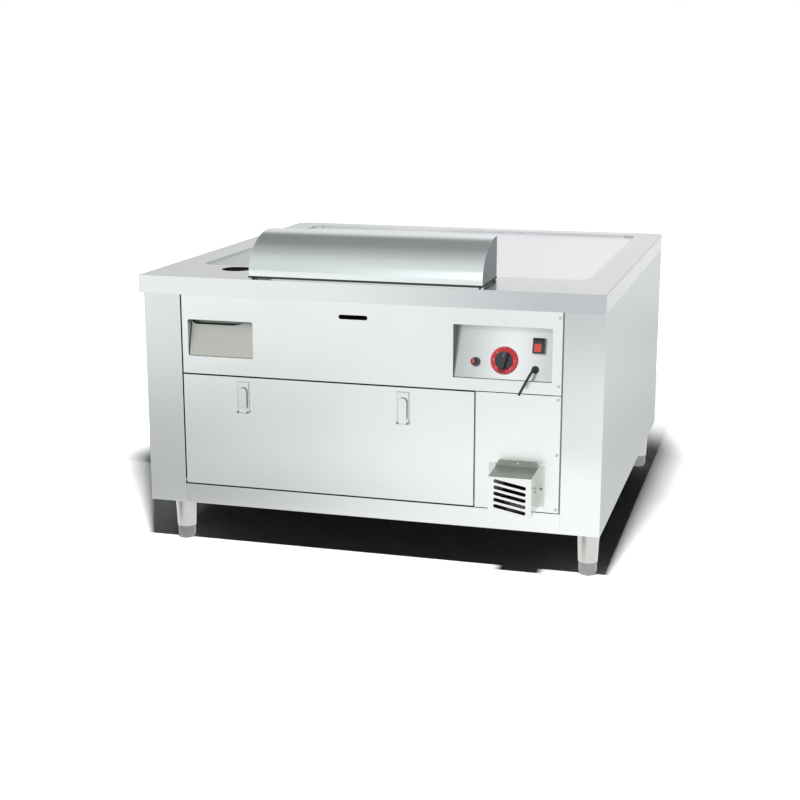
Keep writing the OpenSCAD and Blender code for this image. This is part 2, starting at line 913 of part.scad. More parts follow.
module suction_plenum() {
    x = plenum_x;
    t = sheet;
    color(steel_dark) difference() {
        block([-x, plenum_y0, plenum_z], [x, plenum_y1, top_under]);
        block([-x + t, plenum_y0 + t, plenum_z + t], [x - t, plenum_y1 - t, top_under + eps]);
        block([duct_x + t, duct_y0 + t, plenum_z - eps],
              [duct_x + duct_w - t, duct_y1 - t, plenum_z + 2 * t]);
    }
}

module exhaust_duct() {
    t = sheet;
    x0 = duct_x;
    x1 = duct_x + duct_w;
    elbow_y1 = fan_y + inlet_r + elbow_margin;
    elbow_z0 = fan_z - inlet_r - elbow_margin;
    elbow_z1 = fan_z + inlet_r + elbow_margin;
    color(steel_dark) difference() {
        union() {
            block([x0, duct_y0, elbow_z0], [x1, duct_y1, plenum_z]);
            block([x0, duct_y0, elbow_z0], [divider_x, elbow_y1, elbow_z1]);
        }
        block([x0 + t, duct_y0 + t, elbow_z0 + t], [x1 - t, duct_y1 - t, plenum_z + eps]);
        block([x0 + t, duct_y0 + t, elbow_z0 + t], [divider_x + eps, elbow_y1 - t, elbow_z1 - t]);
    }
}

module fan_inlet_collar() {
    x0 = divider_x + sheet;
    color(steel_dark) difference() {
        rod_x(x0, fan_x0, fan_y, fan_z, 2 * inlet_r + 2 * fan_t);
        rod_x(x0 - eps, fan_x0 + eps, fan_y, fan_z, 2 * inlet_r);
    }
}

// Quarter disc of the scroll on one corner of its square
module scroll_quarter(corner, r, turn) {
    translate(corner * scroll_half) rotate(turn) intersection() {
        circle(r = r, $fn = 96);
        square(r);
    }
}

// Scroll and outlet seen from the right, axle at the origin, drawn in by the given amount
module scroll_area(inset, over) {
    front = fan_y - rear_y;
    tongue = scroll_r - scroll_half;
    scroll_quarter([1, 1], scroll_r - inset, 90);
    scroll_quarter([1, -1], scroll_r + scroll_step - inset, 0);
    scroll_quarter([-1, -1], scroll_r + 2 * scroll_step - inset, -90);
    translate([-scroll_half, -scroll_half]) square(scroll_step);
    translate([-tongue + inset, -fan_low + inset])
        square([tongue + scroll_half - inset, fan_low + scroll_half - inset]);
    translate([-front - over, -fan_low + inset]) square([front, outlet_h - 2 * inset]);
}

module fan_housing() {
    color(steel_dark) translate([0, fan_y, fan_z]) difference() {
        along_x(fan_x0, fan_x1) scroll_area(0, 0);
        along_x(fan_x0 + fan_t, fan_x1 - fan_t) scroll_area(fan_t, eps);
        rod_x(fan_x0 - eps, fan_x0 + 2 * fan_t, 0, 0, 2 * inlet_r);
        rod_x(fan_x1 - 2 * fan_t, fan_x1 + eps, 0, 0, shaft_d + 2 * bore_gap);
    }
}

module fan_impeller() {
    x0 = fan_x0 + impeller_side;
    x1 = fan_x1 - impeller_side;
    r = impeller_d / 2;
    hub_d = 3 * shaft_d;
    color(iron) translate([0, fan_y, fan_z]) {
        rod_x(x1 - disc_t, x1, 0, 0, impeller_d);
        rod_x(x1 - hub_len, x1, 0, 0, hub_d);
        rod_x(x1 - hub_len, fan_x1 + motor_len / 2, 0, 0, shaft_d);
        difference() {
            rod_x(x0, x0 + disc_t, 0, 0, impeller_d);
            rod_x(x0 - eps, x0 + disc_t + eps, 0, 0, 2 * (r - blade_len));
        }
        for (i = [0 : blade_count - 1]) rotate([i * 360 / blade_count, 0, 0])
            translate([0, 0, r - blade_len / 2 - blade_lap]) rotate([blade_lean, 0, 0])
                block([x0 + blade_lap, -blade_t / 2, -blade_len / 2],
                      [x1 - blade_lap, blade_t / 2, blade_len / 2]);
    }
}

module fan_motor() {
    color(iron) translate([0, fan_y, fan_z]) difference() {
        union() {
            rod_x(fan_x1, fan_x1 + motor_len, 0, 0, motor_d);
            rod_x(fan_x1, fan_x1 + motor_lip_t, 0, 0, motor_d + 2 * motor_lip);
        }
        rod_x(fan_x1 - eps, fan_x1 + motor_len / 2 + eps, 0, 0, shaft_d + 2 * bore_gap);
    }
}

module vent_cowl() {
    t = cowl_t;
    y0 = face_y - cowl_depth;
    z1 = cowl_top;
    front_z = z1 - cowl_top_drop;
    slot_z = (cowl_z + front_z) / 2;
    color(steel) difference() {
        union() {
            along_x(cowl_x0, cowl_x1)
                polygon([[y0, cowl_z], [face_y, cowl_z], [face_y, z1], [y0, front_z]]);
            along_y(face_y - t, face_y) {
                rounded(cowl_x0 + tab_margin, z1 - 2 * tab_r, cowl_x1, z1 + top_tab_h, tab_r);
                rounded(cowl_x0 - tab_w, cowl_z + tab_margin, cowl_x1 + tab_w, z1 + tab_r, tab_r / 2);
            }
        }
        along_x(cowl_x0 + t, cowl_x1 - t)
            polygon([
                [y0 + t, cowl_z + t], [face_y + eps, cowl_z + t],
                [face_y + eps, z1 - t], [y0 + t, front_z - t],
            ]);
        along_y(y0 - eps, y0 + 2 * t) for (i = [0 : slot_count - 1])
            translate([service_mid, slot_z + (i - (slot_count - 1) / 2) * slot_pitch])
                rotate(-slot_slant) obround(slot_len, slot_high);
        at_tab_rivets() rivet_bore();
        at_wall_rivets() rivet_bore();
    }
}

// Places its children on the cowl's tabs, Z outward
module at_tab_rivets() {
    for (at = tab_rivets) translate([at[0], face_y - cowl_t, at[1]]) rotate([90, 0, 0]) children();
}

// Places its children on the cowl's side walls, Z outward
module at_wall_rivets() {
    for (side = [-1, 1]) translate([service_mid + side * cowl_w / 2, wall_rivet_y, rivet_z])
        rotate([0, side * 90, 0]) children();
}

module rivet_bore() {
    translate([0, 0, -rivet_len - eps]) cylinder(d = rivet_d + 2 * bore_gap, h = rivet_len + 2 * eps);
}

module cowl_rivets() {
    color(steel_dark) {
        at_tab_rivets() rivet();
        at_wall_rivets() rivet();
    }
}

module rivet() {
    cylinder(d1 = rivet_head_d, d2 = rivet_top_d, h = rivet_head_t);
    translate([0, 0, -rivet_len]) cylinder(d = rivet_d, h = rivet_len);
}

module access_door() {
    color(steel) difference() {
        block([door_x0, face_y, door_z0], [door_x1, face_y + door_d, door_z1]);
        block([door_x0 + sheet, rear_y, door_z0 + sheet],
              [door_x1 - sheet, face_y + door_d + eps, door_z1 - sheet]);
    }
}

module door_hinge_pins() {
    reach = panel_gap + sheet;
    color(steel_dark) {
        rod_x(door_x0 - reach, door_x0, door_pin_y, door_pin_z, pin_d);
        rod_x(door_x1, divider_x + sheet + seat, door_pin_y, door_pin_z, pin_d);
    }
}

module latch_base(mid) {
    y1 = face_y - latch_plate;
    color(steel) difference() {
        union() {
            block([mid - latch_w / 2, y1, latch_z0], [mid + latch_w / 2, face_y, latch_z0 + latch_h]);
            for (side = [-1, 1]) translate([mid + side * (latch_w - ear_w) / 2, 0, 0])
                block([-ear_w / 2, y1 - ear_out, latch_z0], [ear_w / 2, y1, latch_z0 + ear_h]);
        }
        rod_x(mid - latch_w, mid + latch_w, latch_pin_y, latch_pin_z, latch_pin_d + 2 * bore_gap);
    }
}

module latch_lever(mid) {
    r = lever_w / 2;
    tip = lever_up - r;
    color(steel) {
        along_y(latch_pin_y - lever_t / 2, latch_pin_y + lever_t / 2) translate([mid, latch_pin_z]) {
            translate([-r, 0]) square([lever_w, tip]);
            translate([0, tip]) circle(r = r);
        }
        rod_x(mid - r, mid + r, latch_pin_y, latch_pin_z, lever_t + barrel_extra);
        rod_x(mid - latch_w / 2, mid + latch_w / 2, latch_pin_y, latch_pin_z, latch_pin_d);
    }
}

// Section of the control recess in the Y-Z plane, grown by the given wall
module recess_area(wall, over) {
    polygon([
        [rear_y - over, recess_z0 - wall], [face_y + recess_low + plate_run, recess_z0 - wall],
        [face_y + recess_deep + plate_run, recess_z1 + wall], [rear_y - over, recess_z1 + wall],
    ]);
}

module control_recess() {
    color(steel) difference() {
        along_x(recess_x0 - sheet, recess_x1 + sheet) recess_area(sheet, 0);
        along_x(recess_x0, recess_x1) {
            recess_area(0, eps);
            translate([eps, 0]) recess_area(0, 0);
        }
    }
}

// Places its children on the tilted plate, at a distance from its lower left corner, Z outward
module on_plate(at) {
    v = at[1];
    translate([recess_x0 + at[0], face_y + recess_low + v * tan(plate_tilt), recess_z0 + v])
        rotate([90 - plate_tilt, 0, 0]) children();
}

module through_plate(at, d) {
    on_plate(at) translate([0, 0, -2 * sheet]) cylinder(d = d, h = 3 * sheet);
}

module control_plate() {
    y0 = face_y + recess_low;
    y1 = face_y + recess_deep;
    color(steel) difference() {
        along_x(recess_x0, recess_x1) polygon([
            [y0, recess_z0], [y0 + plate_run, recess_z0], [y1 + plate_run, recess_z1], [y1, recess_z1],
        ]);
        through_plate(dial_at, spindle_bush + 2 * bore_gap);
        through_plate(pilot_at, pilot_stem + 2 * bore_gap);
        through_plate(gland_at, gland_stem + 2 * bore_gap);
        on_plate(rocker_at)
            cube([rocker_w - 2 * rocker_lip, rocker_h - 2 * rocker_lip, 4 * sheet], center = true);
    }
}

module thermostat_body() {
    color(black) on_plate(dial_at) difference() {
        union() {
            translate([0, 0, -sheet - thermostat_t / 2])
                cube([thermostat_w, thermostat_w, thermostat_t], center = true);
            translate([0, 0, -sheet]) cylinder(d = spindle_bush, h = sheet);
        }
        translate([0, 0, -thermostat_t]) cylinder(d = spindle_d + 2 * bore_gap, h = thermostat_t + eps);
    }
}

module thermostat_spindle() {
    top = run_gap + dial_t + grip_base;
    color(steel_dark) on_plate(dial_at) translate([0, 0, seat - thermostat_t])
        cylinder(d = spindle_d, h = thermostat_t - seat + top);
}

module dial_skirt() {
    color(red) on_plate(dial_at) translate([0, 0, run_gap]) difference() {
        cylinder(d1 = dial_d, d2 = dial_d - dial_taper, h = dial_t);
        translate([0, 0, -eps]) cylinder(d = spindle_d + 2 * bore_gap, h = dial_t + 2 * eps);
    }
}

module knob_grip() {
    color(black) on_plate(dial_at) translate([0, 0, run_gap + dial_t]) rotate(-grip_turn) difference() {
        union() {
            cylinder(d = grip_d, h = grip_base);
            intersection() {
                cylinder(d1 = grip_d, d2 = grip_d - grip_taper, h = grip_base + grip_high);
                translate([0, 0, (grip_base + grip_high) / 2])
                    cube([grip_w, 2 * grip_d, grip_base + grip_high], center = true);
            }
        }
        translate([0, 0, -eps]) cylinder(d = spindle_d + 2 * bore_gap, h = grip_base + eps + seat);
    }
}

module rocker_frame() {
    inner = [rocker_w - 2 * rocker_wall, rocker_h - 2 * rocker_wall];
    in = rocker_lip + bore_gap;
    tub = [rocker_w - 2 * in, rocker_h - 2 * in];
    color(black) on_plate(rocker_at) difference() {
        union() {
            translate([0, 0, rocker_high / 2]) cube([rocker_w, rocker_h, rocker_high], center = true);
            translate([0, 0, -rocker_back / 2]) cube([tub[0], tub[1], rocker_back], center = true);
        }
        translate([0, 0, (rocker_high - rocker_back) / 2 + sheet])
            cube([inner[0], inner[1], rocker_high + rocker_back], center = true);
        for (side = [-1, 1]) translate([side * inner[0] / 2, 0, rocker_axle]) rotate([0, 90, 0])
            cylinder(d = axle_d + 2 * bore_gap, h = 3 * axle_in, center = true);
    }
}

module rocker_button() {
    half = rocker_h / 2 - rocker_wall - rocker_end_gap;
    wide = rocker_w - 2 * (rocker_wall + rocker_side_gap);
    high = rocker_high - rocker_axle + rocker_proud;
    color(red) on_plate(rocker_at) translate([0, 0, rocker_axle]) rotate([rocker_lean, 0, 0]) {
        translate([-wide / 2, 0, 0]) rotate([90, 0, 90]) linear_extrude(wide) polygon([
            [-half, -rocker_deep], [half, -rocker_deep], [half, high], [0, high - rocker_dip], [-half, high],
        ]);
        rotate([0, 90, 0]) cylinder(d = axle_d, h = wide + 2 * axle_in, center = true);
    }
}

module pilot_bezel() {
    color(black) on_plate(pilot_at) {
        difference() {
            cylinder(d1 = pilot_d, d2 = pilot_d - pilot_taper, h = pilot_high);
            translate([0, 0, pilot_high - lens_seat])
                cylinder(d = lens_d + 2 * bore_gap, h = lens_seat + eps);
        }
        translate([0, 0, -pilot_tail]) cylinder(d = pilot_stem, h = pilot_tail);
    }
}

module pilot_lens() {
    color(red) on_plate(pilot_at) translate([0, 0, pilot_high - lens_seat]) {
        cylinder(d = lens_d, h = lens_seat);
        translate([0, 0, lens_seat]) cylinder(d1 = lens_d, d2 = lens_d - lens_taper, h = lens_dome);
    }
}

// Line of the boot and the cord, by the distance along it from the gland's flange
function unit(v) = v / norm(v);
function plate_out() = [0, -cos(plate_tilt), sin(plate_tilt)];
function droop_way() = let (down = [-droop_aside, 0, -1]) unit(down - (down * plate_out()) * plate_out());
function flange_mid() = let (v = gland_at[1]) gland_flange * plate_out()
    + [recess_x0 + gland_at[0], face_y + recess_low + v * tan(plate_tilt), recess_z0 + v];
function line_turn(s) = max(0, min(s / droop_r * 180 / PI, droop_turn));
function line_heading(s) = let (a = line_turn(s)) cos(a) * plate_out() + sin(a) * droop_way();
function line_point(s) = let (a = line_turn(s), rest = s - a * PI / 180 * droop_r)
    flange_mid() + droop_r * (sin(a) * plate_out() + (1 - cos(a)) * droop_way()) + rest * line_heading(s);
function line_ring(s, d) = let (
    across = cross(plate_out(), droop_way()),
    over = cross(line_heading(s), across)
) [for (k = [0 : cord_sides - 1]) let (a = k * 360 / cord_sides)
    line_point(s) + d / 2 * (cos(a) * across + sin(a) * over)];

// Round bar along that line, between two distances and two widths
module along_line(s0, s1, d0, d1, steps) {
    n = cord_sides;
    points = [for (i = [0 : steps]) let (t = i / steps) each line_ring(s0 + t * (s1 - s0), d0 + t * (d1 - d0))];
    walls = [for (i = [0 : steps - 1], k = [0 : n - 1]) let (
        a = i * n + k, b = i * n + (k + 1) % n
    ) each [[a, b + n, b], [a, a + n, b + n]]];
    ends = [[for (k = [0 : n - 1]) k], [for (k = [n - 1 : -1 : 0]) steps * n + k]];
    polyhedron(points, concat(walls, ends));
}

module cord_gland() {
    color(black) {
        on_plate(gland_at) {
            cylinder(d = gland_d, h = gland_flange);
            translate([0, 0, -gland_tail]) cylinder(d = gland_stem, h = gland_tail);
        }
        along_line(-boot_root, boot_len, boot_d, cord_d + 2 * boot_wall, boot_steps);
    }
}

module supply_cord() {
    color(black) along_line(boot_len, boot_len + cord_free, cord_d, cord_d, cord_steps);
}

module terminal_block() {
    x0 = divider_x + sheet;
    pole = block_size[1] / pole_count;
    color(wool) difference() {
        block([x0, block_y, block_z], [x0, block_y, block_z] + block_size);
        for (i = [0 : pole_count - 1])
            translate([x0 + block_size[0] / 2, block_y + (i + 0.5) * pole - pole_w / 2, block_z + pole_edge])
                cube([block_size[0], pole_w, block_size[2] - 2 * pole_edge]);
    }
}

module leg_sleeves() {
    z0 = glide_h + run_gap;
    z1 = leg_h - leg_flange_t;
    bore = stem_d / 2 + seat;
    bore_top = glide_h + stem_len + stem_play;
    color(steel) for (x = leg_x, y = leg_y) translate([x, y, 0]) {
        rotate_extrude() polygon([
            [bore, z0], [sleeve_low_d / 2, z0], [sleeve_d / 2, leg_h - sleeve_straight],
            [sleeve_d / 2, z1], [0, z1], [0, bore_top], [bore, bore_top],
        ]);
        block([-leg_flange / 2, -leg_flange / 2, z1], [leg_flange / 2, leg_flange / 2, leg_h]);
    }
}

module foot(column, row) {
    r = glide_d / 2;
    color(steel) translate([leg_x[column], leg_y[row], 0]) rotate_extrude() {
        square([r - glide_round, glide_h]);
        translate([0, glide_round]) square([r, glide_h - glide_round]);
        intersection() {
            translate([r - glide_round, glide_round]) circle(r = glide_round);
            square(glide_h);
        }
        square([stem_d / 2, glide_h + stem_len]);
    }
}

worktop();
griddle_plate();
plate_frame();
corner_posts();
base_frame();
floor_panel();
left_side_panel();
right_side_panel();
back_panel();
bottom_rail();
front_fascia();
service_panel();
bay_divider();
panel_screws();
heating_elements();
element_clamps();
insulation_slab();
insulation_tray();
scrap_chute();
drawer_cradle();
scrap_drawer();
hood_shell();
hood_end(-hood_x);  // hood_end_left
hood_end(hood_x - sheet);  // hood_end_right
hood_hinge_rod();
hood_hinge_brackets();
hood_rest_pads();
grease_filter();
suction_plenum();
exhaust_duct();
fan_inlet_collar();
fan_housing();
fan_impeller();
fan_motor();
vent_cowl();
cowl_rivets();
access_door();
door_hinge_pins();
latch_base(latch_mid[0]);  // latch_left_base
latch_base(latch_mid[1]);  // latch_right_base
latch_lever(latch_mid[0]);  // latch_left_lever
latch_lever(latch_mid[1]);  // latch_right_lever
control_recess();
control_plate();
thermostat_body();
thermostat_spindle();
dial_skirt();
knob_grip();
rocker_frame();
rocker_button();
pilot_bezel();
pilot_lens();
cord_gland();
supply_cord();
terminal_block();
leg_sleeves();
foot(0, 0);  // foot_front_left
foot(1, 0);  // foot_front_right
foot(0, 1);  // foot_back_left
foot(1, 1);  // foot_back_right
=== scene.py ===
# %% [markdown]
# # An electric griddle table
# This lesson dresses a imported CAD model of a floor-standing griddle table: a stainless cabinet with a
# sunk cooking plate, a curved fume hood, a scrap drawer, a drop-down door and a small control panel.
# The CAD solids stay where they are. Blender adds finishes, softened edges and the small pieces that
# a milling machine or a press would leave too plain: screws, rivets, dial marks, rubber edging.

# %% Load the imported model
import json
import math

import bmesh
import bpy
from mathutils import Matrix, Vector

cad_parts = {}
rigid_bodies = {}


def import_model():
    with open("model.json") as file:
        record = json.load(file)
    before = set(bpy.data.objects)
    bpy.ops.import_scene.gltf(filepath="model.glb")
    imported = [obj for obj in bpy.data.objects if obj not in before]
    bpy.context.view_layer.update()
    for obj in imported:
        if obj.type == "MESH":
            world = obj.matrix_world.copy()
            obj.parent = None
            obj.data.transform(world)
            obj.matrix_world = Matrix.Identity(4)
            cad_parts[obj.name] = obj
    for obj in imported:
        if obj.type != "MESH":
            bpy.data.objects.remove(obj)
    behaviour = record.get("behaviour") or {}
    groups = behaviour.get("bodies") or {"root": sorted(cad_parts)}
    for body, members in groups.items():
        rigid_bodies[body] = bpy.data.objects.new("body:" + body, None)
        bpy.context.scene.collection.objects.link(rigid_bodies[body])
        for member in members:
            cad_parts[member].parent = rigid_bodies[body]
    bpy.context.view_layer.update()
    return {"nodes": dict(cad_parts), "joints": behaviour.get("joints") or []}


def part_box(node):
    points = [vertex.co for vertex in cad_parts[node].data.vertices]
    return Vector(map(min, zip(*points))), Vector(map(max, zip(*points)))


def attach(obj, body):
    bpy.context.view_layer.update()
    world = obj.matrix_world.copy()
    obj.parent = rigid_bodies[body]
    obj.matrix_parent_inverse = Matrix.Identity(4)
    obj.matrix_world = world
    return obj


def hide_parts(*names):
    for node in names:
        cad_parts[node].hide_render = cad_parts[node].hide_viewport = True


for leftover in list(bpy.data.objects):
    bpy.data.objects.remove(leftover)
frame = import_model()
node = frame["nodes"]
joint = {entry["name"]: entry for entry in frame["joints"]}
scene = bpy.context.scene

# %% [markdown]
# ## Camera
# The table was photographed from the front right, a little above its top. The place and the lens come
# from fitting the corners of the cabinet, whose sizes the CAD gives, to where they stand in the picture.
# A fitted camera beats one placed by eye.

# %% Camera
CAMERA_AT = (1.1532, -4.3362, 1.4006)
CAMERA_LENS = 66.3
SENSOR = 36.0
LOOK_DOWN = math.radians(13.29)
LOOK_LEFT = math.radians(15.82)


def add_object(name, data):
    """An object of the given data, linked to the scene."""
    made = bpy.data.objects.new(name, data)
    scene.collection.objects.link(made)
    return made


lens_data = bpy.data.cameras.new("shop_camera")
lens_data.lens = CAMERA_LENS
lens_data.sensor_width = SENSOR
camera = add_object("shop_camera", lens_data)
camera.location = CAMERA_AT
camera.rotation_euler = (math.pi / 2 - LOOK_DOWN, 0, LOOK_LEFT)
scene.camera = camera
print("camera at", CAMERA_AT, "lens", CAMERA_LENS)

# %% [markdown]
# ## Supply lead
# A short rubber lead leaves the control plate through a boot, droops and ends bare, ready to be wired on
# site. Boot and lead share one line: straight out of the plate, over an even bend of more than four
# diameters, then straight on. A Bezier curve would do, but the boot has to bend with the lead, so one
# helper gives the place and heading at any distance, and another hangs rings of points on it.

# %% Line of the lead
LEAD_THICK = 0.007
LEAD_FREE = 0.076
BOOT_LEN = 0.022
BEND_R = 4.6 * LEAD_THICK
BEND_TURN = math.radians(80)
BEND_ASIDE = 0.41
GLAND_FACE = Vector((0.465, -0.610926, 0.591115))

plate_out = -Vector(joint["thermostat_turn"]["axis"]).normalized()
plate_up = plate_out.cross(Vector((1, 0, 0)))
hanging = Vector((-BEND_ASIDE, 0, -1))
droop = (hanging - hanging.dot(plate_out) * plate_out).normalized()
bend_axis = plate_out.cross(droop)


def line_at(along):
    """The place and the heading at a distance along the line from the gland's face."""
    turn = max(0.0, min(along / BEND_R, BEND_TURN))
    heading = math.cos(turn) * plate_out + math.sin(turn) * droop
    bend = BEND_R * (math.sin(turn) * plate_out + (1 - math.cos(turn)) * droop)
    return GLAND_FACE + bend + (along - turn * BEND_R) * heading, heading


print("lead bends at", round(BEND_R / LEAD_THICK, 1), "diameters")

# %% [markdown]
# Anything turned or swept is a stack of rings, so one helper skins rings into a closed, smooth mesh. A
# ring of a single point closes an end. Edges sharper than 35 degrees stay sharp.

# %% Ring meshes and the lead
SHARP = math.radians(35)
TINY = 1e-6
LEAD_POINTS = 26
LEAD_IN = 0.004
END_ROUND = 0.0007


def to_mesh(shape):
    """Turns a bmesh into a mesh and frees it."""
    made = bpy.data.meshes.new("shape")
    shape.to_mesh(made)
    shape.free()
    return made


def skin(rings):
    """A smooth mesh over rings of points; a ring of one point closes an end."""
    shape = bmesh.new()
    corners = [[shape.verts.new(spot) for spot in ring] for ring in rings]
    sides = max(len(ring) for ring in rings)
    for low, high in zip(corners, corners[1:]):
        for step in range(sides):
            after = (step + 1) % sides
            around = ((low, step), (low, after), (high, after), (high, step))
            loop = [ring[turn % len(ring)] for ring, turn in around]
            shape.faces.new(list(dict.fromkeys(loop)))
    bmesh.ops.recalc_face_normals(shape, faces=shape.faces)
    made = to_mesh(shape)
    made.shade_smooth()
    made.set_sharp_from_angle(angle=SHARP)
    return made


def circle(middle, across, over, radius, sides):
    """Points round a middle in the plane of two directions; a single point where there is no radius."""
    count = sides if radius > TINY else 1
    turns = [2 * math.pi * step / sides for step in range(count)]
    return [middle + radius * (math.cos(a) * across + math.sin(a) * over) for a in turns]


def swept(profile, sides=32):
    """A mesh along the lead's line from (distance, radius) pairs."""
    rings = []
    for along, radius in profile:
        middle, heading = line_at(along)
        rings.append(circle(middle, bend_axis, heading.cross(bend_axis), radius, sides))
    return skin(rings)


def add_piece(name, mesh, body, slot, *stands_for):
    """Links a finished mesh, makes it ride on a body and hides the CAD nodes it stands for."""
    mesh.name = name
    piece = add_object(name, mesh)
    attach(piece, body)
    if stands_for:
        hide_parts(*stands_for)
    return piece


lead_r = LEAD_THICK / 2
lead_end = BOOT_LEN + LEAD_FREE
stations = [BOOT_LEN + LEAD_FREE * step / (LEAD_POINTS - 1) for step in range(LEAD_POINTS)]
lead_profile = [(BOOT_LEN - LEAD_IN, 0), (BOOT_LEN - LEAD_IN, lead_r)]
lead_profile += [(along, lead_r) for along in stations[:-1]]
lead_profile += [(lead_end - END_ROUND, lead_r), (lead_end, lead_r - END_ROUND), (lead_end, 0)]
lead_mesh = swept(lead_profile)
lead = add_piece("supply_lead", lead_mesh, "cabinet", "black_rubber", "supply_cord")

# %% [markdown]
# ## Studio
# The picture has a white sweep, light from the front that leaves a black patch under the cabinet, and
# metal that mirrors a pale room. Lamps alone would show as spots in the steel, so the world gives the
# metal its room: a strip of tones from the front horizon over the ceiling to the back. Its dark stretch
# high at the back draws the grey band on the curved hood, its bright back wall whitens the worktop, and
# its left side is a shade darker. A bright pane low in front stands in the tilted control plate. What
# scatters light gets a faint dome from overhead, and one lamp.

# %% Studio world
ROOM_TONES = (
    (0, 0.90), (42, 0.93), (72, 0.80), (90, 0.67), (102, 0.53), (113, 0.36), (138, 0.32), (146, 0.50),
    (153, 0.93), (168, 0.94), (180, 0.98),
)
ROOM_SIDE = (0.90, 0.90, 0.90, 1.0)
SIDE_FROM, SIDE_FULL = 0.75, 0.98
LEFT_FROM, LEFT_GONE, LEFT_SHADE = -0.45, -0.10, 0.82
PANE_AT, PANE_HALF, PANE_GAIN = -0.213, 0.10, 0.78
PANE_TOP, PANE_SOFT = 0.21, 0.06
AHEAD_LEAST = 0.01
DOME_FROM, ROOM_DOME = 0.65, 0.05
WHITE = (1.0, 1.0, 1.0, 1.0)
BLACK = (0.0, 0.0, 0.0, 1.0)

world = bpy.data.worlds.new("studio")
world.use_nodes = True
scene.world = world
sky = world.node_tree
sky.nodes.clear()


def feed(socket, entry):
    """Links an input to another socket, or sets its value."""
    if isinstance(entry, bpy.types.NodeSocket):
        socket.id_data.links.new(entry, socket)
    else:
        socket.default_value = entry


def add_node(kind, entries, **settings):
    """A node with its settings and its inputs fed, in the tree of the first socket among the entries."""
    tree = next(entry.id_data for entry in entries.values() if isinstance(entry, bpy.types.NodeSocket))
    made = tree.nodes.new(kind)
    for label, value in settings.items():
        setattr(made, label, value)
    for place, entry in entries.items():
        feed(made.inputs[place], entry)
    return made


def plain_math(operation, *entries):
    """A Math node on sockets or numbers; returns its value socket."""
    return add_node("ShaderNodeMath", dict(enumerate(entries)), operation=operation).outputs["Value"]


def fade(value, start, end, low=0.0, high=1.0):
    """A smooth step of a value from low at start to high at end."""
    entries = {"Value": value, "From Min": start, "From Max": end, "To Min": low, "To Max": high}
    return add_node("ShaderNodeMapRange", entries, interpolation_type="SMOOTHSTEP").outputs["Result"]


def blend(factor, first, second, kind="MIX"):
    """A colour Mix of two sockets or colours; returns its colour socket."""
    entries = {"Factor": factor, "A": first, "B": second}
    return add_node("ShaderNodeMix", entries, data_type="RGBA", blend_type=kind).outputs["Result"]


def ramp(value, stops):
    """A colour ramp through (position, colour) stops; returns its colour socket."""
    strip = add_node("ShaderNodeValToRGB", {"Fac": value})
    points = strip.color_ramp.elements
    while len(points) < len(stops):
        points.new(0.5)
    for point, (position, colour) in zip(points, stops):
        point.position = position
        point.color = (*colour, 1)
    return strip.outputs["Color"]


print("room tones", len(ROOM_TONES))

# %% World nodes
looking = sky.nodes.new("ShaderNodeTexCoord")
aside, back, up = add_node("ShaderNodeSeparateXYZ", {"Vector": looking.outputs["Generated"]}).outputs
ahead = plain_math("MULTIPLY", back, -1.0)
over = plain_math("DIVIDE", plain_math("ARCTAN2", up, ahead), math.pi)
room = ramp(over, [(angle / 180, (tone, tone, tone)) for angle, tone in ROOM_TONES])
room = blend(fade(plain_math("ABSOLUTE", aside), SIDE_FROM, SIDE_FULL), room, ROOM_SIDE)
room = blend(1.0, room, fade(aside, LEFT_FROM, LEFT_GONE, LEFT_SHADE, 1.0), "MULTIPLY")
pane = plain_math("DIVIDE", aside, plain_math("MAXIMUM", ahead, AHEAD_LEAST))
pane = plain_math("ABSOLUTE", plain_math("SUBTRACT", pane, PANE_AT))
below = fade(over, PANE_TOP, PANE_TOP - PANE_SOFT, 0.0, PANE_GAIN)
pane = plain_math("MULTIPLY", fade(pane, PANE_HALF, 0.0), below)
room = blend(1.0, room, pane, "ADD")

ray = sky.nodes.new("ShaderNodeLightPath").outputs
mirrored = plain_math("MAXIMUM", ray["Is Glossy Ray"], ray["Is Transmission Ray"])
lit = blend(mirrored, fade(up, DOME_FROM, 1.0, 0.0, ROOM_DOME), room)
sky_light = add_node("ShaderNodeBackground", {"Color": blend(ray["Is Camera Ray"], lit, WHITE)})
add_node("ShaderNodeOutputWorld", {"Surface": sky_light.outputs["Background"]})
scene.view_settings.view_transform = "Standard"
print("world nodes", len(sky.nodes))

# %% [markdown]
# The floor is a wide pale sheet. One strip light hangs before the cabinet, not far above it, so its
# shadow is wider than the cabinet on both sides: the near edge lies sharp at the front feet, the two
# sides run out softly, and the patch below stays black. The light holds its strength over the distance,
# as a row of such strips would, and the metal does not mirror it.

# %% Floor and lamp
FLOOR_HALF = 30.0
FLOOR_DROP = 0.0005
KEY_AT = (0.54, -2.85, 2.70)
KEY_LEAN = math.radians(62)
KEY_SIZE = (0.30, 0.05)
KEY_POWER = 17.5

floor_mesh = bpy.data.meshes.new("studio_floor")
corners = [(x * FLOOR_HALF, y * FLOOR_HALF, -FLOOR_DROP) for x, y in ((-1, -1), (1, -1), (1, 1), (-1, 1))]
floor_mesh.from_pydata(corners, [], [(0, 1, 2, 3)])
studio_floor = add_object("studio_floor", floor_mesh)

key_light = bpy.data.lights.new("key_strip", "AREA")
key_light.shape = "RECTANGLE"
key_light.size, key_light.size_y = KEY_SIZE
key_light.energy = 1.0
key_light.use_nodes = True
lamp_tree = key_light.node_tree
steady = lamp_tree.nodes.new("ShaderNodeLightFalloff")
steady.inputs["Strength"].default_value = KEY_POWER
feed(lamp_tree.nodes["Emission"].inputs["Strength"], steady.outputs["Constant"])
key_strip = add_object("key_strip", key_light)
key_strip.location = KEY_AT
key_strip.rotation_euler = (KEY_LEAN, 0, 0)
key_strip.visible_glossy = False
print("lamp", key_strip.name, "at", KEY_AT)

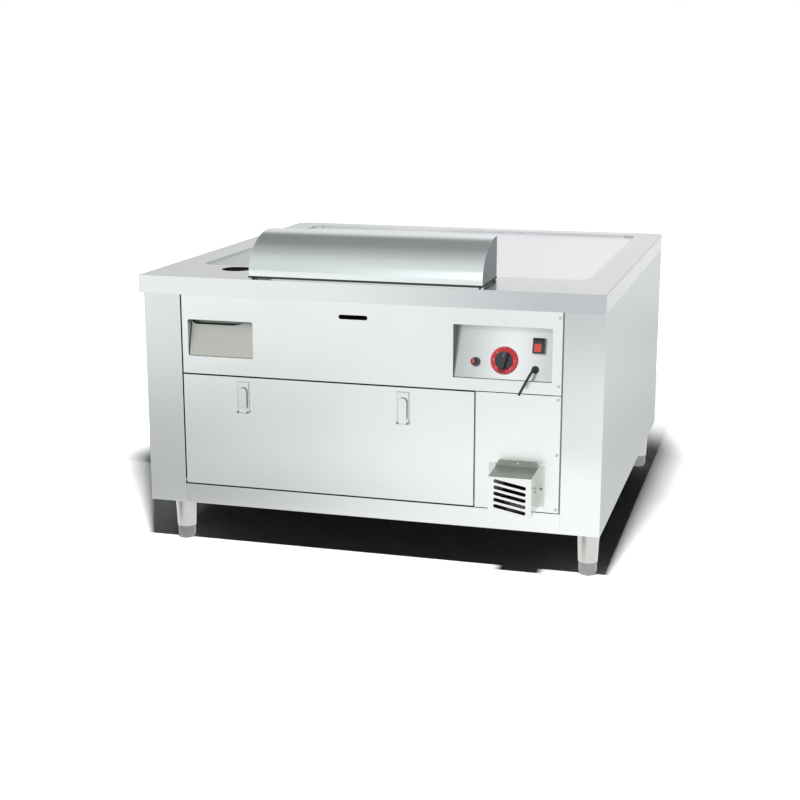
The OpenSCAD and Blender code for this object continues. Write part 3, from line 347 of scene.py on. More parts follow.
# %% [markdown]
# ## Shared surface effects
# Most of this table is one metal in many finishes, so the marks they share are node groups, built once.
# *Brushed grain* is noise stretched along the rolling direction. *Handling haze* is the soft unevenness
# that wiping leaves. *Fine speckle* is the pebbled skin of moulded plastic and rubber. *Soft flag* is a
# dimmed oval, as a studio flag leaves on a floor. Each group gives only a value between 0 and 1; the
# material decides what that value changes.

# %% Node groups
def open_group(name, kind="ShaderNodeTree", output=("Value", "Float"), **inputs):
    """An empty node group with named inputs and one output; returns it with its inner ends."""
    tree = bpy.data.node_groups.new(name, kind)
    for label, socket in inputs.items():
        tree.interface.new_socket(label, in_out="INPUT", socket_type=f"NodeSocket{socket}")
    tree.interface.new_socket(output[0], in_out="OUTPUT", socket_type=f"NodeSocket{output[1]}")
    return tree, tree.nodes.new("NodeGroupInput").outputs, tree.nodes.new("NodeGroupOutput").inputs


def noise(where, roughness, scale=1.0):
    """The value of a Noise Texture on the given coordinates."""
    entries = {"Vector": where, "Scale": scale, "Detail": 3.0, "Roughness": roughness}
    return add_node("ShaderNodeTexNoise", entries).outputs["Fac"]


def vector_math(operation, *entries, result="Vector"):
    """A Vector Math node on sockets or vectors; returns its result socket."""
    return add_node("ShaderNodeVectorMath", dict(enumerate(entries)), operation=operation).outputs[result]


grain_group, given, result = open_group("brushed_grain", Vector="Vector", Repeats="Vector")
stretched = vector_math("MULTIPLY", given["Vector"], given["Repeats"])
feed(result["Value"], noise(stretched, roughness=0.65))

haze_group, given, result = open_group("handling_haze", Vector="Vector", Repeats="Float")
clouds = noise(given["Vector"], roughness=0.5, scale=given["Repeats"])
feed(result["Value"], fade(clouds, start=0.32, end=0.68))

speckle_group, given, result = open_group("fine_speckle", Vector="Vector", Repeats="Float")
pebbles = add_node("ShaderNodeTexVoronoi", {"Vector": given["Vector"], "Scale": given["Repeats"]})
feed(result["Value"], pebbles.outputs["Distance"])

flag_group, given, result = open_group("soft_flag", Vector="Vector", Centre="Vector", Reach="Vector")
offset = vector_math("SUBTRACT", given["Vector"], given["Centre"])
scaled = vector_math("DIVIDE", offset, given["Reach"])
distance = vector_math("LENGTH", scaled, result="Value")
feed(result["Value"], fade(distance, 1.0, 0.0))
print("groups", [group.name for group in bpy.data.node_groups])

# %% [markdown]
# ## Building a finish
# A finish here is a Principled shader whose colour, roughness and bump follow one of those groups. A few
# small helpers keep each material to a handful of lines: start one, place a group, tint the surface by a
# value, texture it by a value, or give a part of it, picked by its place, another colour.

# %% Finish helpers
finishes = {}


def start_finish(name, **constants):
    """A material with constant shader inputs, such as Coat_Weight; returns its shader and coordinates."""
    finishes[name] = bpy.data.materials.new(name)
    finishes[name].use_nodes = True
    tree = finishes[name].node_tree
    shader = tree.nodes["Principled BSDF"]
    for label, value in constants.items():
        shader.inputs[label.replace("_", " ")].default_value = value
    return shader, tree.nodes.new("ShaderNodeTexCoord").outputs["Object"]


def effect(group, where, **values):
    """A shared effect placed in a material with its own values; returns its value socket."""
    return add_node("ShaderNodeGroup", {"Vector": where, **values}, node_tree=group).outputs["Value"]


def tint(shader, value, *tones):
    """A colour that runs through evenly spaced tones as a value goes from 0 to 1."""
    stops = [(place / (len(tones) - 1), tone) for place, tone in enumerate(tones)]
    feed(shader.inputs["Base Color"], ramp(value, stops))


def texture(shader, value, rough, depth=0.0, strength=0.0):
    """Roughness between two ends and a bump of a depth in metres, both following a value."""
    spread = add_node("ShaderNodeMapRange", {"Value": value, "To Min": rough[0], "To Max": rough[1]})
    feed(shader.inputs["Roughness"], spread.outputs["Result"])
    if depth:
        relief = add_node("ShaderNodeBump", {"Height": value, "Distance": depth, "Strength": strength})
        feed(shader.inputs["Normal"], relief.outputs["Normal"])


def patch(name, colour, *edges):
    """Another colour where each edge, (direction, from, to) in metres, is passed; returns the mask."""
    tree = finishes[name].node_tree
    target = tree.nodes["Principled BSDF"].inputs["Base Color"]
    where = tree.nodes["Texture Coordinate"].outputs["Object"]
    inside = 1.0
    for direction, start, end in edges:
        reached = vector_math("DOT_PRODUCT", where, direction, result="Value")
        inside = plain_math("MULTIPLY", inside, fade(reached, start, end))
    feed(target, blend(inside, target.links[0].from_socket, (*colour, 1)))
    return inside

# %% [markdown]
# ## Stainless steel
# Catering steel comes brushed along the sheet. A mirror would show hard pictures of the room and a flat
# grey would look like paint, so each sheet mixes the two: long fine streaks shift the roughness, a slow
# haze shifts the tone by a few parts in a hundred, and a very shallow bump breaks the highlight.

# %% Stainless finishes
ALONG_X = (9.0, 1300.0, 1300.0)
ALONG_Y = (1300.0, 9.0, 1300.0)
ALONG_Z = (1300.0, 1300.0, 9.0)
EVEN = (900.0, 900.0, 900.0)
GRAIN_DEEP, GRAIN_RELIEF = 0.00003, 0.07
HAZE = 2.6


def brushed_steel(name, tone, rough, way, contrast=0.02, **constants):
    """Brushed sheet: tone is its colour, rough its roughness range, way the grain's direction."""
    shader, where = start_finish(name, Metallic=1.0, **constants)
    darker = [channel * (1 - contrast) for channel in tone]
    lighter = [min(1.0, channel * (1 + contrast)) for channel in tone]
    tint(shader, effect(haze_group, where, Repeats=HAZE), darker, lighter)
    grain = effect(grain_group, where, Repeats=way)
    texture(shader, grain, rough, GRAIN_DEEP, GRAIN_RELIEF)


# Tones set to how bright each part looks: the spread between sheets is partly painted light and shade.
STEELS = (
    ("front_steel", (0.85, 0.88, 0.875), (0.22, 0.30), ALONG_X),
    ("rail_steel", (0.87, 0.895, 0.895), (0.23, 0.30), ALONG_X),
    ("top_steel", (0.76, 0.775, 0.79), (0.16, 0.28), ALONG_X),
    ("hood_steel", (0.795, 0.86, 0.86), (0.12, 0.22), ALONG_X),
    ("control_steel", (0.80, 0.82, 0.825), (0.20, 0.32), ALONG_X),
    ("recess_steel", (0.86, 0.885, 0.88), (0.24, 0.40), ALONG_X),
    ("lever_steel", (0.84, 0.865, 0.87), (0.14, 0.26), ALONG_Z),
    ("latch_steel", (0.84, 0.865, 0.87), (0.14, 0.26), ALONG_Z),
    # painted shade: the drawer's sheet is set darker than the fascia
    ("drawer_steel", (0.60, 0.615, 0.57), (0.34, 0.52), ALONG_X, 0.03),
    # painted shade: the finger channel's dark steel stands for the shade in the drawer's notch
    ("pull_steel", (0.18, 0.215, 0.195), (0.22, 0.36), ALONG_X),
    ("cowl_steel", (0.84, 0.86, 0.85), (0.18, 0.32), ALONG_X),
    # painted shade: the leg sleeves are set darker than the other steel
    ("sleeve_steel", (0.57, 0.58, 0.56), (0.14, 0.26), ALONG_Z, 0.06),
    ("glide_nickel", (0.27, 0.28, 0.27), (0.16, 0.30), (300.0, 300.0, 900.0), 0.35),
    ("fixing_steel", (0.62, 0.64, 0.64), (0.18, 0.32), EVEN, 0.08),
    ("rivet_steel", (0.80, 0.82, 0.82), (0.18, 0.32), EVEN, 0.08),
    ("mill_steel", (0.42, 0.435, 0.44), (0.36, 0.55), ALONG_Y, 0.10),
)
for values in STEELS:
    brushed_steel(*values)
brushed_steel("frame_steel", (0.74, 0.775, 0.775), (0.23, 0.31), ALONG_Z,
              Specular_Tint=(0.815, 0.835, 0.83, 1.0))
# painted shade: the hood's ends get a far darker steel than the hood
brushed_steel("hood_end_steel", (0.30, 0.32, 0.318), (0.24, 0.38), ALONG_Y,
              Specular_Tint=(0.60, 0.64, 0.64, 1.0))
print("stainless finishes", len(finishes))

# %% [markdown]
# Some sheets aren't the same all over, and most of it is painted light and shade. The worktop is painted
# darker along its front, left and right rims, its front skirt is painted grey, lighter towards the left,
# and a dark line of painted shade runs along its bent right edge. The rail is painted greyer at its left.
# The right stile is painted from pale at its foot to grey at its head, the right side is painted darker
# low down, and the frame behind its joint is painted dark as the shade in that gap. The control plate is
# painted darker at both ends, and the recess round it is painted dark on its left wall and sill as shade.
# The latches' hinge ears are darker at their feet. A place mask picks each.

# %% Worktop, recess and latch tones, with painted light and shade
X, Y, Z = (1, 0, 0), (0, 1, 0), (0, 0, 1)
AWAY_X, AWAY_Y, AWAY_Z = (-1, 0, 0), (0, -1, 0), (0, 0, -1)

top_low, top_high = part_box("worktop")
recess_low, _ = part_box("control_plate")
latch_low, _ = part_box("latch_left_base")
TOP_FRONT = (AWAY_Y, -top_low.y - 0.0006, -top_low.y - 0.0002)
STILE = (AWAY_Y, 0.605, 0.610), (X, 0.49, 0.50), (AWAY_X, -0.6494, -0.6490)
RIGHT_SIDE = (X, 0.6490, 0.6496)
EAR_TOP = latch_low.z + 0.0075
EAR_FRONT = -latch_low.y - 0.0085

for name, shade, *edges in (
    # painted shade on the worktop's rims and right edge line, painted light on the left of its skirt
    ("top_steel", (0.64, 0.665, 0.665), (AWAY_Y, 0.15, 0.60)),
    ("top_steel", (0.67, 0.705, 0.695), (AWAY_X, 0.15, 0.60)),
    ("top_steel", (0.65, 0.665, 0.685), (X, 0.52, 0.60)),
    ("top_steel", (0.57, 0.59, 0.61), TOP_FRONT),
    ("top_steel", (0.785, 0.815, 0.815), TOP_FRONT, (AWAY_X, -0.58, 0.15)),
    ("top_steel", (0.51, 0.525, 0.54), (X, top_high.x - 0.0010, top_high.x - 0.0004)),
    ("top_steel", (0.26, 0.27, 0.27), (X, top_high.x - 0.0018, top_high.x - 0.0012),
     (Z, top_high.z - 0.0026, top_high.z - 0.0020)),
    # painted shade: the rail greyer towards its left
    ("rail_steel", (0.70, 0.72, 0.72), (AWAY_X, 0.0, 0.60)),
    # painted light and shade: the right stile pale low and grey high, the right side darker low down
    ("frame_steel", (0.60, 0.63, 0.64), (Z, 0.50, 0.76), *STILE),
    ("frame_steel", (0.86, 0.90, 0.91), (AWAY_Z, -0.42, -0.27), *STILE),
    ("frame_steel", (0.63, 0.66, 0.655), RIGHT_SIDE),
    ("frame_steel", (0.50, 0.535, 0.53), RIGHT_SIDE, (AWAY_Z, -0.72, -0.22)),
    # painted shade: the frame dark behind its joint, as the shade in that gap
    ("frame_steel", (0.20, 0.21, 0.21), (Y, -0.6232, -0.6226), (AWAY_Y, 0.55, 0.56),
     (X, 0.500, 0.502), (AWAY_X, -0.602, -0.600)),
    # painted shade: the control plate darker at both ends
    ("control_steel", (0.50, 0.52, 0.52), (AWAY_X, -0.400, -0.245)),
    ("control_steel", (0.58, 0.61, 0.615), (X, 0.405, 0.510)),
    # painted shade: the recess dark on its left wall and its sill
    ("recess_steel", (0.11, 0.125, 0.12), (AWAY_X, -recess_low.x - 0.0008, -recess_low.x - 0.0002)),
    ("recess_steel", (0.20, 0.22, 0.21), (AWAY_Z, -recess_low.z - 0.0008, -recess_low.z - 0.0002)),
    # the latch ears darker at their feet
    ("latch_steel", (0.22, 0.23, 0.24), (AWAY_Z, -EAR_TOP, -EAR_TOP + 0.001),
     (AWAY_Y, EAR_FRONT, EAR_FRONT + 0.001)),
):
    patch(name, shade, *edges)
print("recess", [round(c, 3) for c in recess_low], "ears below", round(EAR_TOP, 3))

# %% [markdown]
# ## Drawer, cowl and cooking plate
# The scrap drawer is a duller, warmer sheet than the fascia round it, and painted darker as the shade on
# its leaning front. The vent cowl has a bright slotted front and sides painted a shade darker; its sloping
# top and the tab above it are grey paint, not metal, the top given a painted shade darker than the tab, and
# its inside is painted near black as shade. The cooking plate is ground thick steel: grind marks across it,
# faint straw tints from heat, and a painted shade at its left end, by the scrap hole.

# %% Drawer, cowl and plate finishes
COWL_SLOPE, COWL_UNDER = (0, -0.04348, 1), (0, 0.04348, -1)
COWL_TOP = 0.35413
COWL_LEFT, COWL_RIGHT = 0.3670, 0.4810
COWL_SKIN, COWL_SHEET = 0.0008, 0.0012
cowl_low, cowl_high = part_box("vent_cowl")
right_end = (AWAY_X, -COWL_RIGHT - 0.0006, -COWL_RIGHT - 0.0002)
inner_walls = (
    (X, -COWL_LEFT), (AWAY_X, COWL_RIGHT), (Y, -cowl_low.y), (Z, -cowl_low.z), (COWL_UNDER, COWL_TOP),
)

# painted shade: the cowl's sides and top a shade darker than its front
patch("cowl_steel", (0.67, 0.69, 0.66), (Y, -0.7145, -0.7140))
# painted shade: the cowl's inside near black
patch("cowl_steel", (0.012, 0.016, 0.016),
      *[(way, COWL_SKIN - wall, COWL_SHEET - wall) for way, wall in inner_walls])
# grey paint on the top and tab; the top's is a painted shade darker than the tab's
painted = patch("cowl_steel", (0.107, 0.125, 0.106), (COWL_SLOPE, COWL_TOP - 0.0008, COWL_TOP - 0.0004),
                (X, COWL_LEFT - 0.0006, COWL_LEFT - 0.0002), right_end)
patch("cowl_steel", (0.175, 0.205, 0.175), (Z, 0.3276, 0.3282), (X, COWL_LEFT, COWL_LEFT + 0.0004),
      right_end, (Y, -0.6275, -0.6270))
patch("rivet_steel", (0.14, 0.15, 0.15), (AWAY_Z, -0.334, -0.332))
bare = plain_math("SUBTRACT", 1.0, painted)
feed(finishes["cowl_steel"].node_tree.nodes["Principled BSDF"].inputs["Metallic"], bare)

PLATE_COOL = (0.90, 0.91, 0.94)
PLATE_STRAW = (0.90, 0.895, 0.885)
GRIND = (520.0, 14.0, 520.0)
shader, where = start_finish("griddle_steel", Metallic=1.0)
heat = effect(haze_group, where, Repeats=1.7)
tint(shader, heat, PLATE_COOL, PLATE_COOL, PLATE_COOL, PLATE_COOL, PLATE_STRAW)
grind = effect(grain_group, where, Repeats=GRIND)
texture(shader, grind, rough=(0.18, 0.32), depth=0.00004, strength=0.2)
# painted shade: the cooking plate darker at its left end
patch("griddle_steel", (0.52, 0.545, 0.56), (AWAY_X, 0.12, 0.46), (AWAY_Y, -0.30, 0.15))
print("cowl from", [round(c, 3) for c in cowl_low])

# %% [markdown]
# ## Working metal out of sight
# Inside, the frame and brackets are plain mill steel, the ducts are galvanised sheet with its crystal
# spangle, the elements carry a dark oxide, the chute below the scrap hole is sooty and painted near black
# as the shade down the hole, and the fan wheel is cast aluminium. The cabinet's floor is painted black
# underneath. They show only from below, or with the door open, the hood up or the drawer out, but they
# show then, so each gets its own surface.

# %% Inner metals
SPANGLES = 90.0
shader, where = start_finish("zinc_sheet", Metallic=1.0)
spangle = add_node("ShaderNodeTexVoronoi", {"Vector": where, "Scale": SPANGLES})
split = add_node("ShaderNodeSeparateColor", {"Color": spangle.outputs["Color"]})
tint(shader, split.outputs["Red"], (0.46, 0.48, 0.49), (0.60, 0.62, 0.63))
texture(shader, split.outputs["Green"], (0.32, 0.50))


def mottled(name, group, dark, light, rough, repeats, depth=0.0001, strength=0.3, **constants):
    """A skin of two tones: one shared effect sets its colour, its roughness and its bump."""
    shader, where = start_finish(name, **constants)
    value = effect(group, where, Repeats=repeats)
    tint(shader, value, dark, light)
    texture(shader, value, rough, depth, strength)


mottled("element_oxide", haze_group, (0.045, 0.04, 0.038), (0.13, 0.10, 0.08), (0.42, 0.62), 40.0,
        strength=0.4, Metallic=0.7)
# sooty, and near black as painted shade down the hole
mottled("chute_soot_and_shade", haze_group, (0.004, 0.004, 0.004), (0.014, 0.013, 0.012), (0.6, 0.8), 25.0,
        strength=0.4, Metallic=0.3)
mottled("under_paint", haze_group, (0.010, 0.010, 0.010), (0.020, 0.020, 0.020), (0.75, 0.90), 14.0,
        strength=0.4, Specular_IOR_Level=0.1)
mottled("cast_aluminium", speckle_group, (0.58, 0.59, 0.60), (0.70, 0.71, 0.72), (0.30, 0.46), 700.0,
        Metallic=1.0)
print("finishes so far", len(finishes))

# %% [markdown]
# ## Plastics, rubber, wool and paint
# Grip, switch frame and lamp holder are black with a fine spark-eroded skin, the lead and edging are matt
# rubber. Stone wool, the motor's hammered paint and the cream terminal block use the same recipe with
# other numbers.

# %% Moulded finishes
MOULDED = (
    ("black_plastic", (0.012, 0.013, 0.013), (0.022, 0.023, 0.023), (0.24, 0.36), 1600.0, 0.00006),
    ("grip_plastic", (0.008, 0.010, 0.012), (0.016, 0.019, 0.022), (0.16, 0.28), 1600.0, 0.00004),
    # painted shade: the grey of the strips that draw the latches' shade lines
    ("seal_grey", (0.20, 0.21, 0.21), (0.28, 0.29, 0.29), (0.45, 0.65), 1100.0, 0.00006),
    ("black_rubber", (0.010, 0.010, 0.010), (0.024, 0.024, 0.024), (0.50, 0.70), 1100.0, 0.0001),
    ("terminal_cream", (0.62, 0.56, 0.42), (0.70, 0.64, 0.50), (0.36, 0.50), 900.0, 0.00008),
    ("mark_pale", (0.46, 0.20, 0.20), (0.54, 0.28, 0.27), (0.40, 0.55), 1500.0, 0.00003),
    ("mark_grey", (0.10, 0.11, 0.12), (0.14, 0.15, 0.16), (0.40, 0.55), 1500.0, 0.00003),
    ("motor_paint", (0.05, 0.075, 0.085), (0.09, 0.12, 0.13), (0.30, 0.46), 260.0, 0.0004),
    ("stone_wool", (0.30, 0.26, 0.17), (0.46, 0.41, 0.29), (0.85, 0.95), 420.0, 0.002),
)
for name, *values in MOULDED:
    mottled(name, speckle_group, *values)

# %% [markdown]
# The dial is glossy red with the faint turning rings of its mould. The rocker's sunk upper part is painted
# dark as the shade of its frame, and its right edge is painted dark too; the rest is a clear red that glows
# a little from inside. Both patterns have to lie on the tilted plate, so a Mapping node turns Object
# coordinates until Z points out of it. The lens is a moulded red cap with a fine prism pattern and a clear
# coat; its right half is painted dark, a painted reflection.

# %% Dial, rocker and lens finishes
dial_at = Vector(joint["thermostat_turn"]["pos_m"])
rocker_at = Vector(joint["rocker_pivot"]["pos_m"])
DIAL_RINGS = 260.0
ROCKER_SPLIT = 0.0045
ROCKER_EDGE = 0.0070
ROCKER_SOFT = 0.0004
LENS_SOFT = 0.003


def on_the_plate(where, middle):
    """Coordinates on the control plate about a point: X along, Y up, Z out."""
    entries = {"Vector": where, "Location": middle, "Rotation": (math.acos(plate_out.z), 0, 0)}
    return add_node("ShaderNodeMapping", entries, vector_type="TEXTURE").outputs["Vector"]


shader, where = start_finish("dial_red", Coat_Weight=0.15, Coat_Roughness=0.08)
entries = {"Vector": on_the_plate(where, dial_at), "Scale": DIAL_RINGS}
rings = add_node("ShaderNodeTexWave", entries, wave_type="RINGS", rings_direction="Z")
tint(shader, rings.outputs["Fac"], (0.28, 0.006, 0.012), (0.32, 0.009, 0.016))
texture(shader, rings.outputs["Fac"], rough=(0.22, 0.32), depth=0.00003, strength=0.2)

shader, where = start_finish("rocker_red", Coat_Weight=0.3, Emission_Strength=0.08)
plate_axes = add_node("ShaderNodeSeparateXYZ", {"Vector": on_the_plate(where, rocker_at)})
upper = fade(plate_axes.outputs["Y"], ROCKER_SPLIT - ROCKER_SOFT, ROCKER_SPLIT + ROCKER_SOFT)
beside = fade(plate_axes.outputs["X"], ROCKER_EDGE - ROCKER_SOFT, ROCKER_EDGE + ROCKER_SOFT)
# painted shade: the rocker's sunk upper part and right edge are dark
dark = plain_math("MAXIMUM", upper, beside)
tint(shader, dark, (0.30, 0.022, 0.022), (0.008, 0.010, 0.010))
glow = ramp(dark, [(0.0, (0.75, 0.09, 0.07)), (1.0, (0.0, 0.0, 0.0))])
feed(shader.inputs["Emission Color"], glow)
texture(shader, effect(speckle_group, where, Repeats=1300.0), (0.20, 0.32))

mottled("lens_red", speckle_group, (0.30, 0.008, 0.012), (0.52, 0.02, 0.025), (0.10, 0.22), 520.0,
        depth=0.0003, strength=0.5, Coat_Weight=0.8, Coat_Roughness=0.04)
lens_low, lens_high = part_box("pilot_lens")
lens_mid = (lens_low.x + lens_high.x) / 2
# painted reflection: the lens's right half is dark
patch("lens_red", (0.010, 0.006, 0.006), (X, lens_mid - LENS_SOFT, lens_mid + LENS_SOFT))
print("dial at", [round(c, 4) for c in dial_at])

# %% [markdown]
# ## Floor paper
# The floor is white paper with a slow unevenness. A little beyond the shadow it turns plain white for the
# camera, as a studio sweep does. Steel mirrors the floor, and for mirror rays alone soft flags dim it in
# places: one far left, four in front, two at the right and behind, a small one before each front leg, and
# the cabinet's own shadow, painted in because mirror rays would not see it otherwise. That painted shade
# is what grades the door from grey at the left to white at the right, and what rounds the legs.

# %% Floor paper
FLAGS = (
    ((-1.30, -1.9), (1.25, 1.8), 0.54),
    ((-0.10, -5.0), (1.5, 1.8), 0.30), ((-0.45, -3.0), (1.3, 1.4), 0.20),
    ((-0.55, -1.2), (1.1, 0.42), 0.46), ((-1.50, -11.0), (4.5, 6.5), 0.18),
    ((0.80, 1.2), (0.6, 1.6), 0.11), ((0.95, 3.4), (0.8, 1.8), 0.15),
    ((-0.82, -0.74), (0.24, 0.24), 0.60), ((0.38, -0.74), (0.24, 0.24), 0.60),
    # painted shadow: the cabinet's own shadow, for mirror rays
    ((0.0, 0.25), (0.80, 0.85), 1.0),
)
MIRROR_GAIN = 1.17
SWEEP_FROM, SWEEP_FULL = 1.05, 1.45
PAPER_DULL, PAPER_BRIGHT = (0.945, 0.945, 0.945), (0.955, 0.955, 0.955)

shader, where = start_finish("floor_paper", Specular_IOR_Level=0.0, Roughness=0.9, Emission_Strength=1.0)
paper = ramp(effect(haze_group, where, Repeats=0.4), [(0.0, PAPER_DULL), (1.0, PAPER_BRIGHT)])
flagged = blend(1.0, paper, (MIRROR_GAIN, MIRROR_GAIN, MIRROR_GAIN, 1.0), "MULTIPLY")
for centre, reach, depth in FLAGS:
    dimmed = effect(flag_group, where, Centre=(*centre, 0.0), Reach=(*reach, 1.0))
    flagged = blend(plain_math("MULTIPLY", dimmed, depth), flagged, BLACK)
ray = where.id_data.nodes.new("ShaderNodeLightPath").outputs
sweep = fade(vector_math("LENGTH", where, result="Value"), SWEEP_FROM, SWEEP_FULL)
sweep = blend(plain_math("MULTIPLY", sweep, ray["Is Camera Ray"]), BLACK, WHITE)
feed(shader.inputs["Base Color"], blend(ray["Is Glossy Ray"], paper, BLACK))
feed(shader.inputs["Emission Color"], blend(ray["Is Glossy Ray"], sweep, flagged))
floor_mesh.materials.append(finishes["floor_paper"])
print("flags", len(FLAGS), "materials", len(finishes))

# %% [markdown]
# ## Dressing the CAD pieces
# A CAD node arrives as loose triangles with knife edges. Real sheet is deburred and real plastic has a
# radius, and it is that small rounding which catches the light. The mesh itself must not change, so
# modifiers do it: Weld joins the triangles, Bevel rounds every edge sharper than 35 degrees, and
# Weighted Normal keeps the broad faces flat, so that no shading leaks in from the rounded edges.

# %% Dress the nodes
WELD = 0.00001
DRESSES = (
    ("front_steel", 0.0006, "front_fascia access_door service_panel"),
    ("frame_steel", 0.0006, "left_side_panel right_side_panel back_panel"),
    ("rail_steel", 0.0006, "bottom_rail"),
    ("top_steel", 0.0007, "worktop"),
    ("hood_steel", 0.0005, "hood_shell"),
    ("hood_end_steel", 0.0004, "hood_end_left hood_end_right"),
    ("control_steel", 0.0004, "control_plate"),
    ("recess_steel", 0.0004, "control_recess"),
    ("latch_steel", 0.0005, "latch_left_base latch_right_base"),
    ("lever_steel", 0.0005, "latch_left_lever latch_right_lever"),
    ("sleeve_steel", 0.0010, "leg_sleeves"),
    ("glide_nickel", 0.0010, "foot_front_left foot_front_right foot_back_left foot_back_right"),
    ("drawer_steel", 0.0005, "scrap_drawer drawer_cradle"),
    ("cowl_steel", 0.0004, "vent_cowl"),
    ("griddle_steel", 0.0010, "griddle_plate"),
    ("mill_steel", 0.0006, "plate_frame corner_posts bay_divider"),
    ("mill_steel", 0.0004, "element_clamps insulation_tray hood_hinge_brackets"),
    ("under_paint", 0.0006, "floor_panel base_frame"),
    ("chute_soot_and_shade", 0.0004, "scrap_chute"),
    ("fixing_steel", 0.0003, "hood_hinge_rod door_hinge_pins thermostat_spindle"),
    ("zinc_sheet", 0.0004, "suction_plenum exhaust_duct fan_inlet_collar fan_housing grease_filter"),
    ("element_oxide", 0.0003, "heating_elements"),
    ("cast_aluminium", 0.0002, "fan_impeller"),
    ("motor_paint", 0.0012, "fan_motor"),
    ("stone_wool", 0.0040, "insulation_slab"),
    ("black_rubber", 0.0006, "hood_rest_pads"),
    ("black_plastic", 0.0006, "thermostat_body rocker_frame pilot_bezel"),
    ("grip_plastic", 0.0014, "knob_grip"),
    ("dial_red", 0.0008, "dial_skirt"),
    ("rocker_red", 0.0005, "rocker_button"),
    ("lens_red", 0.0012, "pilot_lens"),
    ("terminal_cream", 0.0010, "terminal_block"),
)


def dress(piece, finish, edge):
    """Gives a CAD node a finish and a rounded edge of the given width in metres."""
    for label in ("custom_normal", "sharp_edge", "sharp_face"):
        found = piece.data.attributes.get(label)
        if found:
            piece.data.attributes.remove(found)
    piece.data.shade_smooth()
    piece.data.materials.clear()
    piece.data.materials.append(finish)
    joined = piece.modifiers.new("join_triangles", "WELD")
    joined.merge_threshold = WELD
    soften = piece.modifiers.new("soft_edges", "BEVEL")
    soften.width = edge
    soften.segments = 2
    soften.limit_method = "ANGLE"
    soften.angle_limit = SHARP
    soften.loop_slide = False
    flat = piece.modifiers.new("flat_faces", "WEIGHTED_NORMAL")
    flat.weight = 100


for finish, edge, names in DRESSES:
    for name in names.split():
        dress(node[name], finishes[finish], edge)
lead_mesh.materials.append(finishes["black_rubber"])
print("dressed", sum(1 for piece in node.values() if piece.modifiers), "nodes")

# %% [markdown]
# ## Strain-relief boot
# The boot is moulded in one with its gland: a stem through the plate, a round collar against it, and a
# taper cut into ribs so that it bends with the lead. It is swept on the lead's own line.

# %% Strain-relief boot
COLLAR_R, COLLAR_H = 0.010, 0.004
BOOT_R, BOOT_TIP_R = 0.0075, 0.0045
STEM_R, STEM_IN = 0.006, 0.008
RIBS = 5
RIB_CUT = 0.0011
EASE = 0.0008

boot_profile = [
    (-COLLAR_H - STEM_IN, 0), (-COLLAR_H - STEM_IN, STEM_R), (-COLLAR_H, STEM_R),
    (-COLLAR_H, COLLAR_R - EASE), (EASE - COLLAR_H, COLLAR_R), (-1.5 * EASE, COLLAR_R),
    (0, COLLAR_R - 1.5 * EASE), (0, BOOT_R),
]
for rib in range(RIBS):
    for share, cut in ((0.10, 0.0), (0.50, 0.0), (0.62, RIB_CUT), (0.90, RIB_CUT)):
        along = (rib + share) / RIBS
        radius = BOOT_R + (BOOT_TIP_R - BOOT_R) * along
        boot_profile.append((BOOT_LEN * along, radius - cut * (1 - 0.4 * along)))
boot_profile += [(0.985 * BOOT_LEN, BOOT_TIP_R), (BOOT_LEN, lead_r), (BOOT_LEN, 0)]
boot_mesh = swept(boot_profile, sides=40)
boot_mesh.materials.append(finishes["black_rubber"])
add_piece("lead_boot", boot_mesh, "cabinet", "black_rubber", "cord_gland")
print("boot ribs", RIBS, "faces", len(boot_mesh.polygons))

# %% [markdown]
# ## Screws and rivets
# Five cross-head screws hold the service side, five blind rivets the cowl. One Geometry Nodes tree sets
# both: it takes a row of points, each with its own facing, and puts a head shape on every one. The heads
# are turned first, and the screw gets its cross by cutting two crossed bars out of it.

# %% Tree for repeats
def baked(holder):
    """The plain mesh that an object's modifiers, or its text, make."""
    graph = bpy.context.evaluated_depsgraph_get()
    return bpy.data.meshes.new_from_object(holder.evaluated_get(graph))


repeat_tree, start, end = open_group(
    "set_on_points", "GeometryNodeTree", ("Geometry", "Geometry"),
    Geometry="Geometry", Shape="Object", Finish="Material",
)
facing = repeat_tree.nodes.new("GeometryNodeInputNamedAttribute")
facing.data_type = "FLOAT_VECTOR"
facing.inputs["Name"].default_value = "facing"
turn = add_node("FunctionNodeEulerToRotation", {"Euler": facing.outputs["Attribute"]})
shape_in = add_node("GeometryNodeObjectInfo", {"Object": start["Shape"]})
setting = add_node("GeometryNodeInstanceOnPoints", {
    "Points": start["Geometry"], "Instance": shape_in.outputs["Geometry"],
    "Rotation": turn.outputs["Rotation"],
})
solid = add_node("GeometryNodeRealizeInstances", {"Geometry": setting.outputs["Instances"]})
coat = add_node("GeometryNodeSetMaterial", {
    "Geometry": solid.outputs["Geometry"], "Material": start["Finish"],
})
feed(end["Geometry"], coat.outputs["Geometry"])


def repeated(shape, seats, finish):
    """One mesh of a shape set on (place, Euler turn) seats, in a finish."""
    points = bpy.data.meshes.new("seats")
    points.from_pydata([place for place, _ in seats], [], [])
    turns = points.attributes.new("facing", "FLOAT_VECTOR", "POINT")
    for entry, (_, angles) in zip(turns.data, seats):
        entry.vector = angles
    single, holder = add_object("single", shape), add_object("holder", points)
    step = holder.modifiers.new("tree", "NODES")
    step.node_group = repeat_tree
    values = {"Shape": single, "Finish": finishes[finish]}
    for item in repeat_tree.interface.items_tree:
        if item.name in values:
            step[item.identifier] = values[item.name]
    made = baked(holder)
    bpy.data.objects.remove(single)
    bpy.data.objects.remove(holder)
    return made


print("tree", repeat_tree.name, "nodes", len(repeat_tree.nodes))

# %% [markdown]
# Where each fastener goes is read from the CAD node itself: its triangles fall into clusters, one for
# each head. A fastener faces along its cluster's short side.

